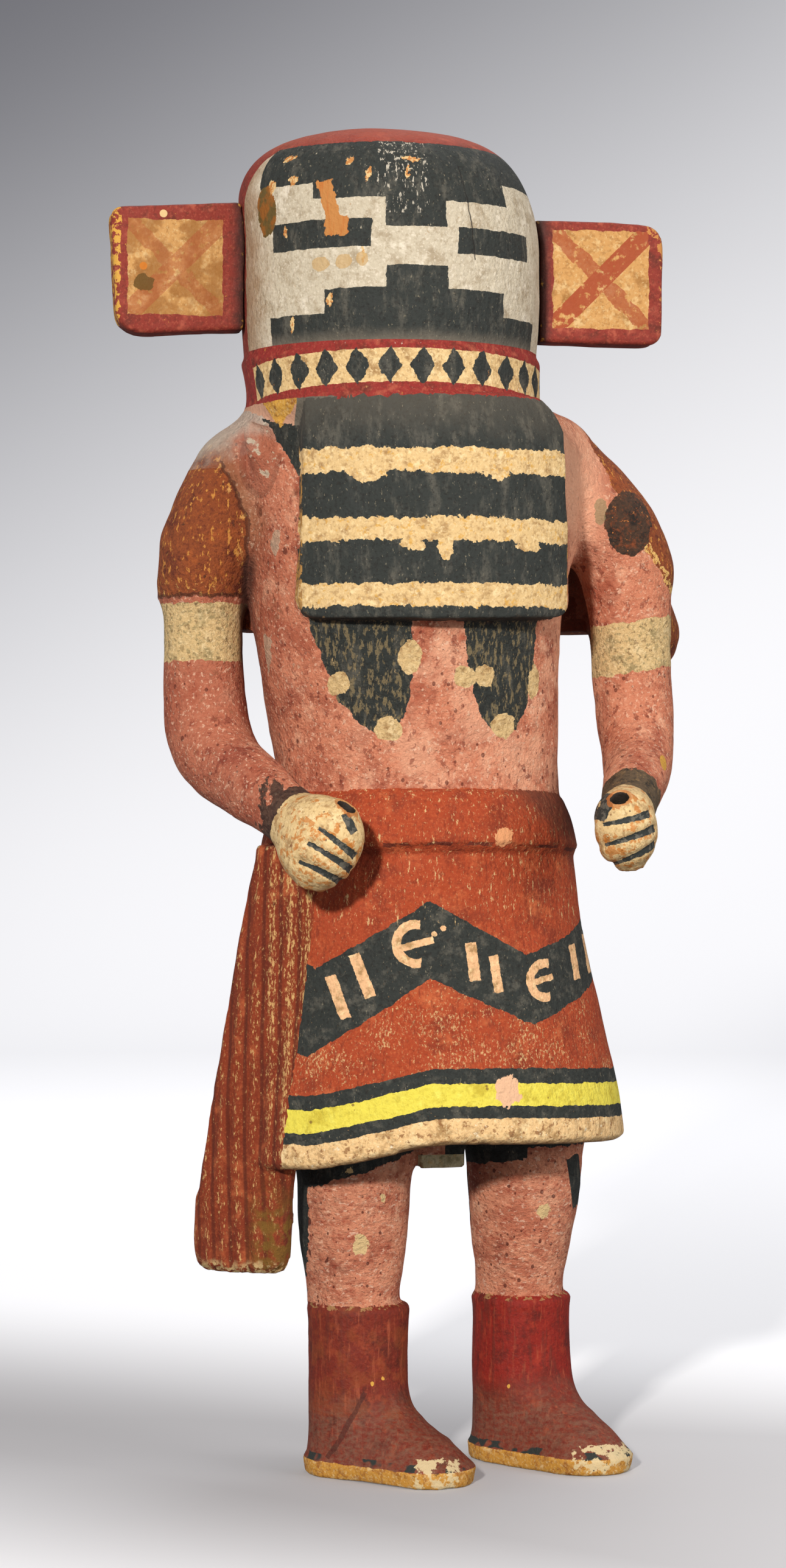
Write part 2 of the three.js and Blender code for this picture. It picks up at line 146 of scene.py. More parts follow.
# Fists: middle, way out from the wrist, way up the bore, half sizes across, along and tall
FISTS = {
    "right": ((-25.2, -41, 164.6), (0.492, -0.74, -0.46), (0.353, -0.313, 0.88), (9.2, 12.2, 12.4)),
    "left": ((52.8, -43, 168), (-0.25, -0.84, -0.47), (-0.256, -0.412, 0.875), (8.2, 11.2, 10.9)),
}

# How far forward of the fist's middle its bore runs, and the bore's width
BORE = 4.8
BORE_FORWARD = {"right": 3.7, "left": 3.4}

# Finger grooves seen from the front: start and end, x and z
FINGERS = {
    "right": (
        ((-26.8, 167.8), (-17.3, 160.7)),
        ((-29.4, 164.2), (-17.9, 157.3)),
        ((-31.1, 159.6), (-19.6, 154)),
    ),
    "left": (
        ((45.4, 168.5), (57.2, 171.3)),
        ((46.2, 163.5), (58.8, 167.7)),
        ((48.8, 158.5), (59.4, 163.7)),
    ),
}

# Legs: middle x and y at the boot and at the hem
LEG_RADIUS = 16.8
LEGS = (((-10, -2), (-9.6, -1)), ((36.6, 10), (37.4, 8)))


def column(table, level, index):
    return np.interp(level, table[:, 0], table[:, index])


# Relief: what the knife, the years and the paint left on the surface

def lumps(points, size, seed):
    """Smooth random heights from -1 to 1, with bumps of about this size."""
    spots = points / size + 13.7 * seed
    base = np.floor(spots).astype(np.int64)
    share = spots - base
    share = share * share * (3 - 2 * share)
    total = np.zeros(len(points))
    for corner in itertools.product((0, 1), repeat=3):
        key = base + corner
        code = key[:, 0] * 73856093 ^ key[:, 1] * 19349663 ^ key[:, 2] * 83492791 ^ (seed * 2654435)
        code = (code ^ (code >> 13)) * 1274126177 & 0xFFFFFFFF
        code = (code ^ (code >> 16)) * 374761393 & 0xFFFFFFFF
        height = code / 2147483648.0 - 1
        weight = np.where(corner, share, 1 - share).prod(1)
        total += weight * height
    return total


def fade(values, low, high):
    """0 below low, 1 above high, smooth between them."""
    t = np.clip((values - low) / (high - low), 0, 1)
    return t * t * (3 - 2 * t)


def scratch(u, v, start, end, width, depth):
    """A groove along a straight stroke over two coordinates of the surface."""
    start, end = np.array(start, float), np.array(end, float)
    along = end - start
    spot = np.stack([u, v], 1) - start
    share = np.clip(spot @ along / (along @ along), 0, 1)
    away = np.linalg.norm(spot - share[:, None] * along, axis=1)
    return -depth * np.exp(-(away / width) ** 2)


class Web:
    """Which points of a mesh are joined by an edge."""

    def __init__(self, mesh):
        ends = np.empty(len(mesh.edges) * 2, np.int32)
        mesh.edges.foreach_get("vertices", ends)
        ends = ends.reshape(-1, 2)
        both = np.concatenate([ends, ends[:, ::-1]])
        both = both[np.argsort(both[:, 0], kind="stable")]
        self.points = both[:, 0]
        self.others = both[:, 1]
        self.starts = np.searchsorted(self.points, np.arange(len(mesh.vertices)))
        self.counts = np.bincount(self.points, minlength=len(mesh.vertices))[:, None]

    def mean(self, values):
        return np.add.reduceat(values[self.others], self.starts, axis=0) / self.counts

    def diffused(self, values, weight, steps):
        values = values.copy()
        for _ in range(steps):
            values += weight * (self.mean(values) - values)
        return values


def points_of(mesh):
    flat = np.empty(len(mesh.vertices) * 3, np.float32)
    mesh.vertices.foreach_get("co", flat)
    return flat.reshape(-1, 3).astype(float) / MM - AXIS


def set_points(mesh, points):
    mesh.vertices.foreach_set("co", ((points + AXIS) * MM).astype(np.float32).ravel())
    mesh.update()


def normals_of(mesh):
    flat = np.empty(len(mesh.vertices) * 3, np.float32)
    mesh.vertex_normals.foreach_get("vector", flat)
    return flat.reshape(-1, 3).astype(float)


def applied(piece):
    """Bakes a piece's modifiers into its mesh."""
    shown = piece.evaluated_get(bpy.context.evaluated_depsgraph_get())
    mesh = bpy.data.meshes.new_from_object(shown)
    piece.modifiers.clear()
    piece.data = mesh
    return mesh


def merged_copy(node):
    """A CAD node's mesh with its shared points joined, as a new object's mesh and a BMesh."""
    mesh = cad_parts[node].data.copy()
    form = bmesh.new()
    form.from_mesh(mesh)
    bmesh.ops.remove_doubles(form, verts=form.verts, dist=0.002 * MM)
    form.to_mesh(mesh)
    return mesh, form


def edge_distance(form, points, least_angle, kept):
    """How far each point is from the CAD form's nearest sharp edge, in millimetres."""
    spots = []
    for edge in form.edges:
        if len(edge.link_faces) != 2 or edge.calc_face_angle(0) < least_angle:
            continue
        start, end = (np.array(v.co) / MM - AXIS for v in edge.verts)
        count = max(2, int(np.linalg.norm(end - start)) + 1)
        spots += [start + (end - start) * i / (count - 1) for i in range(count)]
    spots = np.array(spots)
    spots = spots[kept(spots)]
    tree = KDTree(len(spots))
    for i, spot in enumerate(spots):
        tree.insert(spot, i)
    tree.balance()
    return np.array([tree.find(point)[2] for point in points])


def smooth_skin(name, node, kept_edges, rounding_steps, fixed=None, least_angle=math.radians(35)):
    """A fine even skin over a CAD node, with the flat facets smoothed away and the edges kept."""
    mesh, form = merged_copy(node)
    piece = bpy.data.objects.new(name, mesh)
    bpy.context.scene.collection.objects.link(piece)
    remesh = piece.modifiers.new("remesh", "REMESH")
    remesh.mode = "VOXEL"
    remesh.voxel_size = FINE_CELL * MM
    mesh = applied(piece)
    points = points_of(mesh)
    web = Web(mesh)
    free = fade(edge_distance(form, points, least_angle, kept_edges), 0.6, 3.5)[:, None] * 0.5
    if fixed is not None:
        free *= fixed(points)[:, None]
    form.free()
    steps = rounding_steps
    once = web.diffused(points, free, steps)
    # Twice the once-smoothed form less the twice-smoothed one keeps the limbs' thickness
    points = 2 * once - web.diffused(once, free, steps)
    points = web.diffused(points, 0.5, 2)
    set_points(mesh, points)
    return piece


def thin_out(piece, most):
    mesh = piece.data
    mesh.calc_loop_triangles()
    count = len(mesh.loop_triangles)
    if count > most:
        decimate = piece.modifiers.new("decimate", "DECIMATE")
        decimate.ratio = most / count
        applied(piece)
    piece.data.shade_smooth()


def add_cavity(piece):
    """Keeps on each point how hollow the surface is there: below 0 on edges, above 0 in creases."""
    mesh = piece.data
    points, normals, web = points_of(mesh), normals_of(mesh), Web(mesh)
    steps = points[web.others] - points[web.points]
    lengths = np.maximum(np.linalg.norm(steps, axis=1), 1e-6)
    rise = (steps * normals[web.points]).sum(1) / lengths
    hollow = np.add.reduceat(rise, web.starts)[:, None] / web.counts
    hollow = web.diffused(hollow, 0.5, 3)
    attribute = mesh.attributes.new("hollow", "FLOAT", "POINT")
    attribute.data.foreach_set("value", hollow.ravel().astype(np.float32))


# Which part of the figure a place on its skin belongs to

PARTS = ("body", "head", "bib", "kilt", "sash", "hand", "leg", "boot")


def fist_place(points, side):
    """Places in a fist's own directions, as shares of its half sizes."""
    middle, away, up, half = FISTS[side]
    away = np.array(away) / np.linalg.norm(away)
    across = np.cross(away, up)
    across /= np.linalg.norm(across)
    up = np.array(up) / np.linalg.norm(up)
    spot = points - np.array(middle)
    return np.stack([spot @ across, spot @ away, spot @ up], 1) / np.array(half)


def near_limb(points, limb, spare):
    """Whether points lie within a limb's radius and a little more."""
    inside = np.zeros(len(points), bool)
    for start, end in zip(limb[:-1], limb[1:]):
        along = end[:3] - start[:3]
        share = np.clip((points - start[:3]) @ along / (along @ along), 0, 1)
        away = np.linalg.norm(points - start[:3] - share[:, None] * along, axis=1)
        inside |= away < start[3] + (end[3] - start[3]) * share + spare
    return inside


def hem_level(x):
    side = (x - KILT_MIDDLE) / KILT_HALF
    right = HEM_SAG_RIGHT * np.clip(-side - 0.1, 0, 0.6)
    return HEM_LEVEL - right - HEM_SAG_LEFT * np.maximum(side, 0) ** 2


def sash_place(points):
    """Distances across the sash and out from its back, as shares and millimetres."""
    x, y, z = points.T
    out = x * math.sin(SASH_FACING) - y * math.cos(SASH_FACING) - column(SASH, z, 2)
    across = x * math.cos(SASH_FACING) + y * math.sin(SASH_FACING) - column(SASH, z, 1)
    return across / column(SASH, z, 3), out


def parts_at(points, normals):
    x, y, z = points.T
    part = np.zeros(len(points), int)

    def give(name, where):
        part[where & (part == 0)] = PARTS.index(name)

    for side in FISTS:
        spot = fist_place(points, side)
        give("hand", (np.abs(spot) ** 2.4).sum(1) < 1.22)
    arm = near_limb(points, RIGHT_ARM, 1.2) | near_limb(points, LEFT_ARM, 1.2)
    round_head = np.hypot(x, y)
    neck = (z > COLLAR_BOTTOM - 11) & (round_head < HEAD_RADIUS - 0.55 * (COLLAR_BOTTOM - z) + 0.2)
    give("head", (z > COLLAR_BOTTOM - 0.4) | neck)
    give("boot", z < BOOT_TOP + 0.3)
    across, out = sash_place(points)
    give("sash", ~arm & (np.abs(across) < 1.05) & (out > -0.6) & (z < 163.5) & (z > 52))
    on_leg = np.zeros(len(points), bool)
    for (low_x, low_y), (high_x, high_y) in LEGS:
        share = np.clip((z - BOOT_TOP) / (HEM_LEVEL - BOOT_TOP), 0, 1)
        mid_x, mid_y = low_x + (high_x - low_x) * share, low_y + (high_y - low_y) * share
        on_leg |= np.hypot(x - mid_x, y - mid_y) < LEG_RADIUS
    crotch = (np.abs(x - 12.5) < 7) & (np.abs(y - 3) < 12.5)
    give("leg", (z < 92) & (on_leg | crotch) & (normals[:, 2] > -0.75) & (z < hem_level(x) + 2.5))
    belt_edge = BELT_TOP + 0.7 - BELT_SLOPE * y
    give("kilt", ~arm & (z < belt_edge) & (z > 60))
    wide, deep = column(TRUNK, z, 2) + 0.8, column(TRUNK, z, 3) + 0.8
    outside = np.abs((x - column(TRUNK, z, 1)) / wide) ** 2.2 + np.abs(y / deep) ** 2.2 > 1
    slab = (np.abs(x - BIB_MIDDLE) < BIB_HALF + 0.4) & (z > BIB_BOTTOM - 1.6) & (y < -8)
    give("bib", ~arm & slab & outside & (z < COLLAR_BOTTOM + 1))
    return part


def kept_figure_edges(spots):
    """The sharp edges that stay: not the shoulders, where the form was worked soft."""
    x, y, z = spots.T
    shoulder = (z > 236) & (z < 277) & (y > -13)
    armpit = (z > 222) & (z < 262) & (y > -30) & (np.abs(x - BIB_MIDDLE) > BIB_HALF + 1) & (y < 7)
    fist = np.zeros(len(spots), bool)
    for side in FISTS:
        fist |= (np.abs(fist_place(spots, side)) ** 2.4).sum(1) < 1.3
    return ~(shoulder | armpit | fist)


def bore_place(points, side):
    """Distance from a fist's bore, and the height along it, in millimetres."""
    spot = fist_place(points, side) * np.array(FISTS[side][3])
    away = np.hypot(spot[:, 0], spot[:, 1] - BORE_FORWARD[side])
    return away, spot[:, 2]


def away_from_bores(points):
    """0 at the fists' bores and 1 clear of them."""
    clear = np.ones(len(points))
    for side in FISTS:
        away, height = bore_place(points, side)
        inside = np.abs(height) < 1.25 * FISTS[side][3][2]
        clear *= np.where(inside, fade(away, BORE / 2 + 0.8, BORE / 2 + 2.2), 1)
    return clear


def figure_relief(points, part):
    """How far the surface stands out of the smooth form at each point, in millimetres."""
    x, y, z = points.T
    on = {name: part == i for i, name in enumerate(PARTS)}
    turned = np.arctan2(x, -y)
    arc = turned * HEAD_RADIUS
    broad = lumps(points, 17, 1)
    middling = lumps(points, 7, 2)
    fine = lumps(points, 2.6, 3)
    worked = {
        "body": (0.42, 0.26, 0.09),
        "head": (0.25, 0.08, 0.03),
        "bib": (0.3, 0.12, 0.05),
        "kilt": (0.3, 0.12, 0.05),
        "sash": (0.15, 0.12, 0.08),
        "hand": (0.2, 0.18, 0.07),
        "leg": (0.4, 0.3, 0.1),
        "boot": (0.3, 0.16, 0.06),
    }
    out = np.zeros(len(points))
    for name, (large, medium, small) in worked.items():
        out += on[name] * (large * broad + medium * middling + small * fine)
    # Old paint chips off in shallow flat patches
    flakes = fade(lumps(points, 5, 4) + 0.5 * lumps(points, 1.8, 5), 0.72, 0.8)
    out -= 0.12 * flakes * ~on["hand"]
    # Cracks in the head and at the belt's foot
    out += on["head"] * scratch(arc, z, (12.9, 336), (16.3, 310), 0.45, 0.35)
    out += on["head"] * scratch(arc, z, (-14, 341), (-16, 326), 0.4, 0.2)
    wander = 0.9 * lumps(points, 9, 6)
    belt_foot = BELT_BOTTOM + 1.2 - BELT_SLOPE * y + wander
    out -= 0.4 * on["kilt"] * np.exp(-((z - belt_foot) / 0.6) ** 2)
    # The sash's scratched grain runs down its flutes
    stretched = points * np.array([1, 1, 0.1])
    out += on["sash"] * 0.16 * lumps(stretched, 0.9, 7)
    # The hem is knocked and uneven
    near_hem = fade(z - hem_level(x), 5, 0)
    out -= on["kilt"] * near_hem * (0.25 + 0.55 * fade(lumps(points, 4, 8), 0.1, 0.8))
    # Soles rubbed round
    rub = fade(z, SOLE + 1, 0.5) * fade(lumps(points, 6, 9), -0.2, 0.7)
    out -= on["boot"] * 0.45 * rub
    # The edge of the bib is rubbed
    rim = fade(np.abs(x - BIB_MIDDLE), BIB_HALF - 2.5, BIB_HALF) * fade(lumps(points, 5, 10), 0, 0.8)
    out -= on["bib"] * 0.5 * rim
    # Finger grooves
    for side in FISTS:
        front = on["hand"] * fade(fist_place(points, side)[:, 1], -0.35, -0.05)
        near = np.abs(x - FISTS[side][0][0]) < 16
        for start, end in FINGERS[side]:
            out += front * near * scratch(x, z, start, end, 1.0, 0.7)
    return out * away_from_bores(points)


# Colours as they look in the photo, 0 to 255

def colour(red, green, blue):
    return tuple(
        (v / 255 / 12.92 if v / 255 <= 0.04045 else ((v / 255 + 0.055) / 1.055) ** 2.4)
        for v in (red, green, blue)
    )


PINK = (206, 127, 95)
PINK_DEEP = (150, 72, 52)
PINK_PALE = (232, 170, 136)
BLOOD = (88, 28, 18)
CHARCOAL = (43, 46, 43)
CHARCOAL_DUSTY = (92, 88, 78)
SOOT = (28, 25, 22)
FACE_WHITE = (194, 181, 158)
FACE_GREY = (158, 140, 114)
FACE_BRIGHT = (226, 214, 194)
CREAM = (214, 180, 126)
CREAM_BRIGHT = (236, 208, 158)
CREAM_DIRTY = (158, 120, 74)
DARK_RED = (132, 46, 34)
RED_BROWN = (92, 36, 24)
RED_PALE = (172, 84, 62)
CRIMSON = (130, 26, 14)
KILT_RED = (160, 63, 30)
KILT_DARK = (122, 44, 22)
KILT_PALE = (192, 98, 56)
SASH_RED = (138, 54, 25)
RUST = (140, 70, 34)
DUSTY_BROWN = (122, 88, 68)
YELLOW = (222, 205, 76)
OCHRE = (204, 152, 62)
ORANGE = (178, 100, 34)
WOOD = (186, 124, 64)
WOOD_DARK = (128, 74, 26)
OLIVE = (96, 76, 34)
GREEN_GREY = (140, 128, 92)
EAR_CREAM = (194, 144, 84)
BAR_CREAM = (226, 176, 130)
FIST_CREAM = (216, 184, 130)


def written(operation, turned=False):
    """A method that turns a sign of plain arithmetic into one maths node."""
    def method(self, other):
        return self.paint.math(operation, *((other, self) if turned else (self, other)))
    return method


class Number:
    """A number that varies over a painted surface."""

    def __init__(self, paint, socket):
        self.paint = paint
        self.socket = socket

    __add__ = written("ADD")
    __radd__ = written("ADD", True)
    __sub__ = written("SUBTRACT")
    __rsub__ = written("SUBTRACT", True)
    __mul__ = written("MULTIPLY")
    __rmul__ = written("MULTIPLY", True)
    __truediv__ = written("DIVIDE")
    __lt__ = written("LESS_THAN")
    __gt__ = written("GREATER_THAN")

    def __neg__(self):
        return self * -1

    def __abs__(self):
        return self.paint.math("ABSOLUTE", self)


def dot(a, b):
    return a[0] * b[0] + a[1] * b[1] + a[2] * b[2]


# How far noise mostly strays from its middle, and at how many such steps above the middle
# the patches begin that cover each of these shares of a surface
NOISE_STEP = 0.115
PATCH_STEPS = {0.5: 0, 0.35: 0.4, 0.2: 0.85, 0.1: 1.3, 0.05: 1.65, 0.02: 2.1}
# What brings noise, less its middle, to about -1 to 1
NOISE_GAIN = 3.2


class Paint:
    """The nodes of one painted surface, with places in millimetres from the head's axis."""

    def __init__(self, name):
        self.material = bpy.data.materials.new(name)
        self.material.use_nodes = True
        tree = self.material.node_tree
        self.nodes, self.links = tree.nodes, tree.links
        self.shader = self.nodes["Principled BSDF"]
        self.tone = None
        self.seed = 0
        where = self.nodes.new("ShaderNodeTexCoord").outputs["Object"]
        scaled = self.vector("SCALE", where)
        scaled.inputs["Scale"].default_value = 1 / MM
        self.place = self.vector("SUBTRACT", scaled.outputs[0], tuple(AXIS)).outputs[0]
        apart = self.nodes.new("ShaderNodeSeparateXYZ")
        self.links.new(self.place, apart.inputs[0])
        self.x, self.y, self.z = (Number(self, apart.outputs[i]) for i in range(3))

    def put(self, value, socket):
        """Links a number or a tone to a socket, or sets a plain value or a colour there."""
        if isinstance(value, Number):
            self.links.new(value.socket, socket)
        elif isinstance(value, bpy.types.NodeSocket):
            self.links.new(value, socket)
        elif isinstance(value, tuple) and len(value) == 3 and socket.type == "RGBA":
            socket.default_value = (*colour(*value), 1)
        else:
            socket.default_value = value

    def math(self, operation, *values):
        node = self.nodes.new("ShaderNodeMath")
        node.operation = operation
        for value, socket in zip(values, node.inputs):
            self.put(value, socket)
        return Number(self, node.outputs[0])

    def vector(self, operation, *values):
        node = self.nodes.new("ShaderNodeVectorMath")
        node.operation = operation
        for value, socket in zip(values, node.inputs):
            self.put(value, socket)
        return node

    # Masks: 1 inside, 0 outside

    def near(self, value, middle, half):
        return self.math("COMPARE", value, middle, half)

    def both(self, *masks):
        total = masks[0]
        for mask in masks[1:]:
            total = self.math("MULTIPLY", total, mask)
        return total

    def either(self, *masks):
        total = masks[0]
        for mask in masks[1:]:
            total = self.math("MAXIMUM", total, mask)
        return total

    def soft(self, value, low, high):
        node = self.nodes.new("ShaderNodeMapRange")
        node.interpolation_type = "SMOOTHSTEP"
        for given, name in ((value, "Value"), (low, "From Min"), (high, "From Max")):
            self.put(given, node.inputs[name])
        return Number(self, node.outputs["Result"])

    def box(self, u, v, left, right, low, high):
        across = self.near(u, (left + right) / 2, (right - left) / 2)
        return self.both(across, self.near(v, (low + high) / 2, (high - low) / 2))

    def spot(self, u, v, middle, wide, tall=None):
        """A round or oval spot, wide and tall being half sizes."""
        tall = tall or wide
        across, up = (u - middle[0]) / wide, (v - middle[1]) / tall
        return across * across + up * up < 1

    def stroke(self, u, v, start, end, width, taper=0):
        """A straight stroke from start to end with square ends, narrower at its start by taper."""
        along = np.subtract(end, start)
        length = float(np.linalg.norm(along))
        way = (along / length).tolist()
        middle = (np.add(start, end) / 2).tolist()
        forward = (u - middle[0]) * way[0] + (v - middle[1]) * way[1]
        aside = (v - middle[1]) * way[0] - (u - middle[0]) * way[1]
        reach = (forward / length - 0.5) * (taper * width / 2) + width / 2
        return self.both(self.near(forward, 0, length / 2), abs(aside) < reach)

    def ball(self, middle, half):
        """Inside an ellipsoid."""
        parts = [(v - m) / h for v, m, h in zip((self.x, self.y, self.z), middle, half)]
        return dot(parts, parts) < 1

    def turned(self, middle_x=0, middle_y=0):
        """Degrees round an upright axis: 0 in front, + towards the doll's left."""
        return self.math("ARCTAN2", self.x - middle_x, middle_y - self.y) * (180 / math.pi)

    # Textures

    def noise(self, size, detail=2, stretch=None, rough=0.6):
        """Random values from 0 to 1, mostly near a half, with features of about this size."""
        self.seed += 1
        at = self.place
        if stretch:
            at = self.vector("MULTIPLY", at, stretch).outputs[0]
        moved = self.vector("ADD", at, (37 * self.seed, 11 * self.seed, 5 * self.seed))
        node = self.nodes.new("ShaderNodeTexNoise")
        self.links.new(moved.outputs[0], node.inputs["Vector"])
        node.inputs["Scale"].default_value = 1 / size
        node.inputs["Detail"].default_value = detail
        node.inputs["Roughness"].default_value = rough
        return Number(self, node.outputs["Fac"])

    def patches(self, size, cover, detail=4, stretch=None, edge=0.02, rough=0.65):
        """Ragged patches that take up about this share of the surface."""
        level = 0.5 + NOISE_STEP * PATCH_STEPS[cover]
        return self.soft(self.noise(size, detail, stretch, rough), level - edge, level + edge)

    def shaky(self, size, reach, detail=3):
        """A random length to add to a coordinate, so that an edge is drawn by hand."""
        return (self.noise(size, detail) - 0.5) * (NOISE_GAIN * reach)

    def specks(self, size, radius, share, stretch=None):
        """Small dots spread at random. Share is how many of the cells have one."""
        self.seed += 1
        at = self.vector("MULTIPLY", self.place, stretch).outputs[0] if stretch else self.place
        node = self.nodes.new("ShaderNodeTexVoronoi")
        moved = self.vector("ADD", at, (19 * self.seed, 7 * self.seed, 3 * self.seed))
        self.links.new(moved.outputs[0], node.inputs["Vector"])
        node.inputs["Scale"].default_value = 1 / size
        apart = self.nodes.new("ShaderNodeSeparateColor")
        self.links.new(node.outputs["Color"], apart.inputs[0])
        own = Number(self, apart.outputs[0])
        reach = (share - own) * (radius / size / share)
        return Number(self, node.outputs["Distance"]) < reach

    def hollow(self):
        """How hollow the surface is, as kept on the mesh."""
        node = self.nodes.new("ShaderNodeAttribute")
        node.attribute_name = "hollow"
        return Number(self, node.outputs["Fac"])

    # Coats of paint

    def coat(self, under, over, mask):
        node = self.nodes.new("ShaderNodeMix")
        node.data_type = "RGBA"
        self.put(mask, node.inputs[0])
        self.put(under, node.inputs[6])
        self.put(over, node.inputs[7])
        return node.outputs[2]

    def mottled(self, main, dark, pale, size, grit=0.45):
        """A hand-laid coat: one colour drifting to a darker and a paler one, with a fine grit."""
        tone = self.coat(main, dark, self.soft(self.noise(size, 5), 0.5, 0.68) * 0.85)
        tone = self.coat(tone, pale, self.soft(self.noise(size * 0.7, 5), 0.53, 0.7) * 0.8)
        tone = self.coat(tone, dark, self.soft(self.noise(1.1, 4), 0.5, 0.66) * grit)
        return self.coat(tone, pale, self.soft(self.noise(0.7, 4), 0.52, 0.68) * grit)

    def lay(self, over, mask):
        """One more coat on the surface, where the mask is."""
        self.tone = self.coat(self.tone, over, mask)

    def chip(self, *values):
        """Ragged losses in the surface."""
        self.tone = self.flaked(self.tone, *values)

    def flaked(self, tone, under, size, cover, stretch=None, strength=0.85, where=None):
        """Small ragged losses that show another colour."""
        mask = self.patches(size, cover, 5, stretch) * strength
        return self.coat(tone, under, mask if where is None else self.both(mask, where))

    def wear(self, under, reach, strength):
        """Paint rubbed off the ridges."""
        rub = -self.hollow() + (self.noise(2.2, 5) - 0.5) * 0.5
        self.lay(under, self.soft(rub, reach, reach + 0.06) * strength)

    def finished(self, height, depth=0.3, dull=0.82, shine=0.35, grime=BLOOD, reach=0.75):
        """Dirt in the creases, then the shader's own values."""
        hollow = self.hollow()
        dirt_and_shade = self.soft(hollow + (self.noise(3, 4) - 0.5) * 0.12, 0.05, 0.26)
        self.lay(grime, dirt_and_shade * reach)
        self.links.new(self.tone, self.shader.inputs["Base Color"])
        self.shader.inputs["Specular IOR Level"].default_value = shine
        rough = self.noise(5, 4) * 0.3 + (dull - 0.15)
        self.put(rough, self.shader.inputs["Roughness"])
        grain = self.noise(0.9, 4) * 0.8 + height
        bump = self.nodes.new("ShaderNodeBump")
        bump.inputs["Strength"].default_value = 1
        bump.inputs["Distance"].default_value = depth * MM
        self.put(grain, bump.inputs["Height"])
        self.links.new(bump.outputs[0], self.shader.inputs["Normal"])
        return self.material


# Materials, one for each part of the figure

def black_coat(p, size=3.5, stretch=(1, 1, 0.4)):
    """Old charcoal paint, dusty and scratched down to pale ground."""
    black = p.coat(CHARCOAL, CHARCOAL_DUSTY, p.soft(p.noise(size, 5, stretch, 0.7), 0.48, 0.7) * 0.75)
    black = p.coat(black, SOOT, p.soft(p.noise(0.9, 4), 0.5, 0.66) * 0.6)
    black = p.flaked(black, (138, 128, 106), 0.6, 0.1, (1, 1, 0.5), 0.6)
    return p.flaked(black, CREAM, 0.8, 0.02, (1, 1, 0.45), 0.85)


def wrist_place(p, side):
    """Distance back from a fist's middle towards the wrist, and square distance from that line."""
    middle, away = FISTS[side][0], FISTS[side][1]
    way = (np.array(away) / np.linalg.norm(away)).tolist()
    apart = [v - m for v, m in zip((p.x, p.y, p.z), middle)]
    back = -dot(apart, way)
    return back, dot(apart, apart) - back * back


def paint_tongues(p, u, v):
    """Two black tongues with cream dots hang below the bib."""
    y, z = p.y, p.z
    front = y < -12
    black = black_coat(p, 3, (1, 1, 0.3))
    black = p.flaked(black, (134, 116, 82), 1, 0.35, (1, 1, 0.35), 0.7)
    black = p.flaked(black, CREAM, 0.9, 0.05, (1, 1, 0.35), 0.85)
    for middle, lean, foot, wide, tall in ((-7.4, -0.18, 191.5, 11.7, 28.6), (24.5, -0.03, 191.4, 9.5, 24)):
        rise = (v - foot) / tall
        shape = p.math("SQRT", p.math("MAXIMUM", rise * (2 - rise), 0)) * wide
        flare = p.math("MAXIMUM", v - 212, 0) * 0.1
        aside = abs(u - middle - (v - foot) * lean)
        tongue = p.both(aside < shape + flare, v > foot, z < BIB_BOTTOM + 1, front)
        p.lay(black, tongue)
    cream = p.mottled(CREAM, CREAM_DIRTY, CREAM_BRIGHT, 2.5)
    for middle, wide, tall in (
        ((-18, 204.2), 2.9, 2.9), ((-0.4, 211), 3, 4.4), ((-5.5, 192.6), 3.5, 3.2),
        ((13.8, 205.9), 2.8, 2.8), ((19.1, 206.1), 2.8, 2.8), ((33.4, 205.1), 1.7, 4.2),
        ((24.4, 193.6), 3.2, 3.2),
    ):
        p.lay(cream, p.both(p.spot(u, v, middle, wide, tall), front))
    for middle, wide, tall in (((-35, 211.5), 1.8, 6.5), ((-32.8, 240), 0.9, 3.4)):
        patch = p.both(p.spot(u, v, middle, wide, tall), y < -8)
        p.lay((188, 166, 140), patch * 0.65)


def paint_armbands(p, v):
    """Armbands."""
    x = p.x
    band = p.mottled(CREAM, (150, 132, 90), CREAM_BRIGHT, 5, 0.8)
    band = p.flaked(band, (112, 84, 48), 1.6, 0.2, None, 0.6)
    band = p.flaked(band, OLIVE, 3, 0.1, None, 0.45)
    p.lay(band, p.both(x < -37.6, p.near(v, 217.8, 7.4)))
    slanted = v - (x - 56) * 0.16
    p.lay(band, p.both(x > 48.5, p.near(slanted, 213.6, 6.7)))


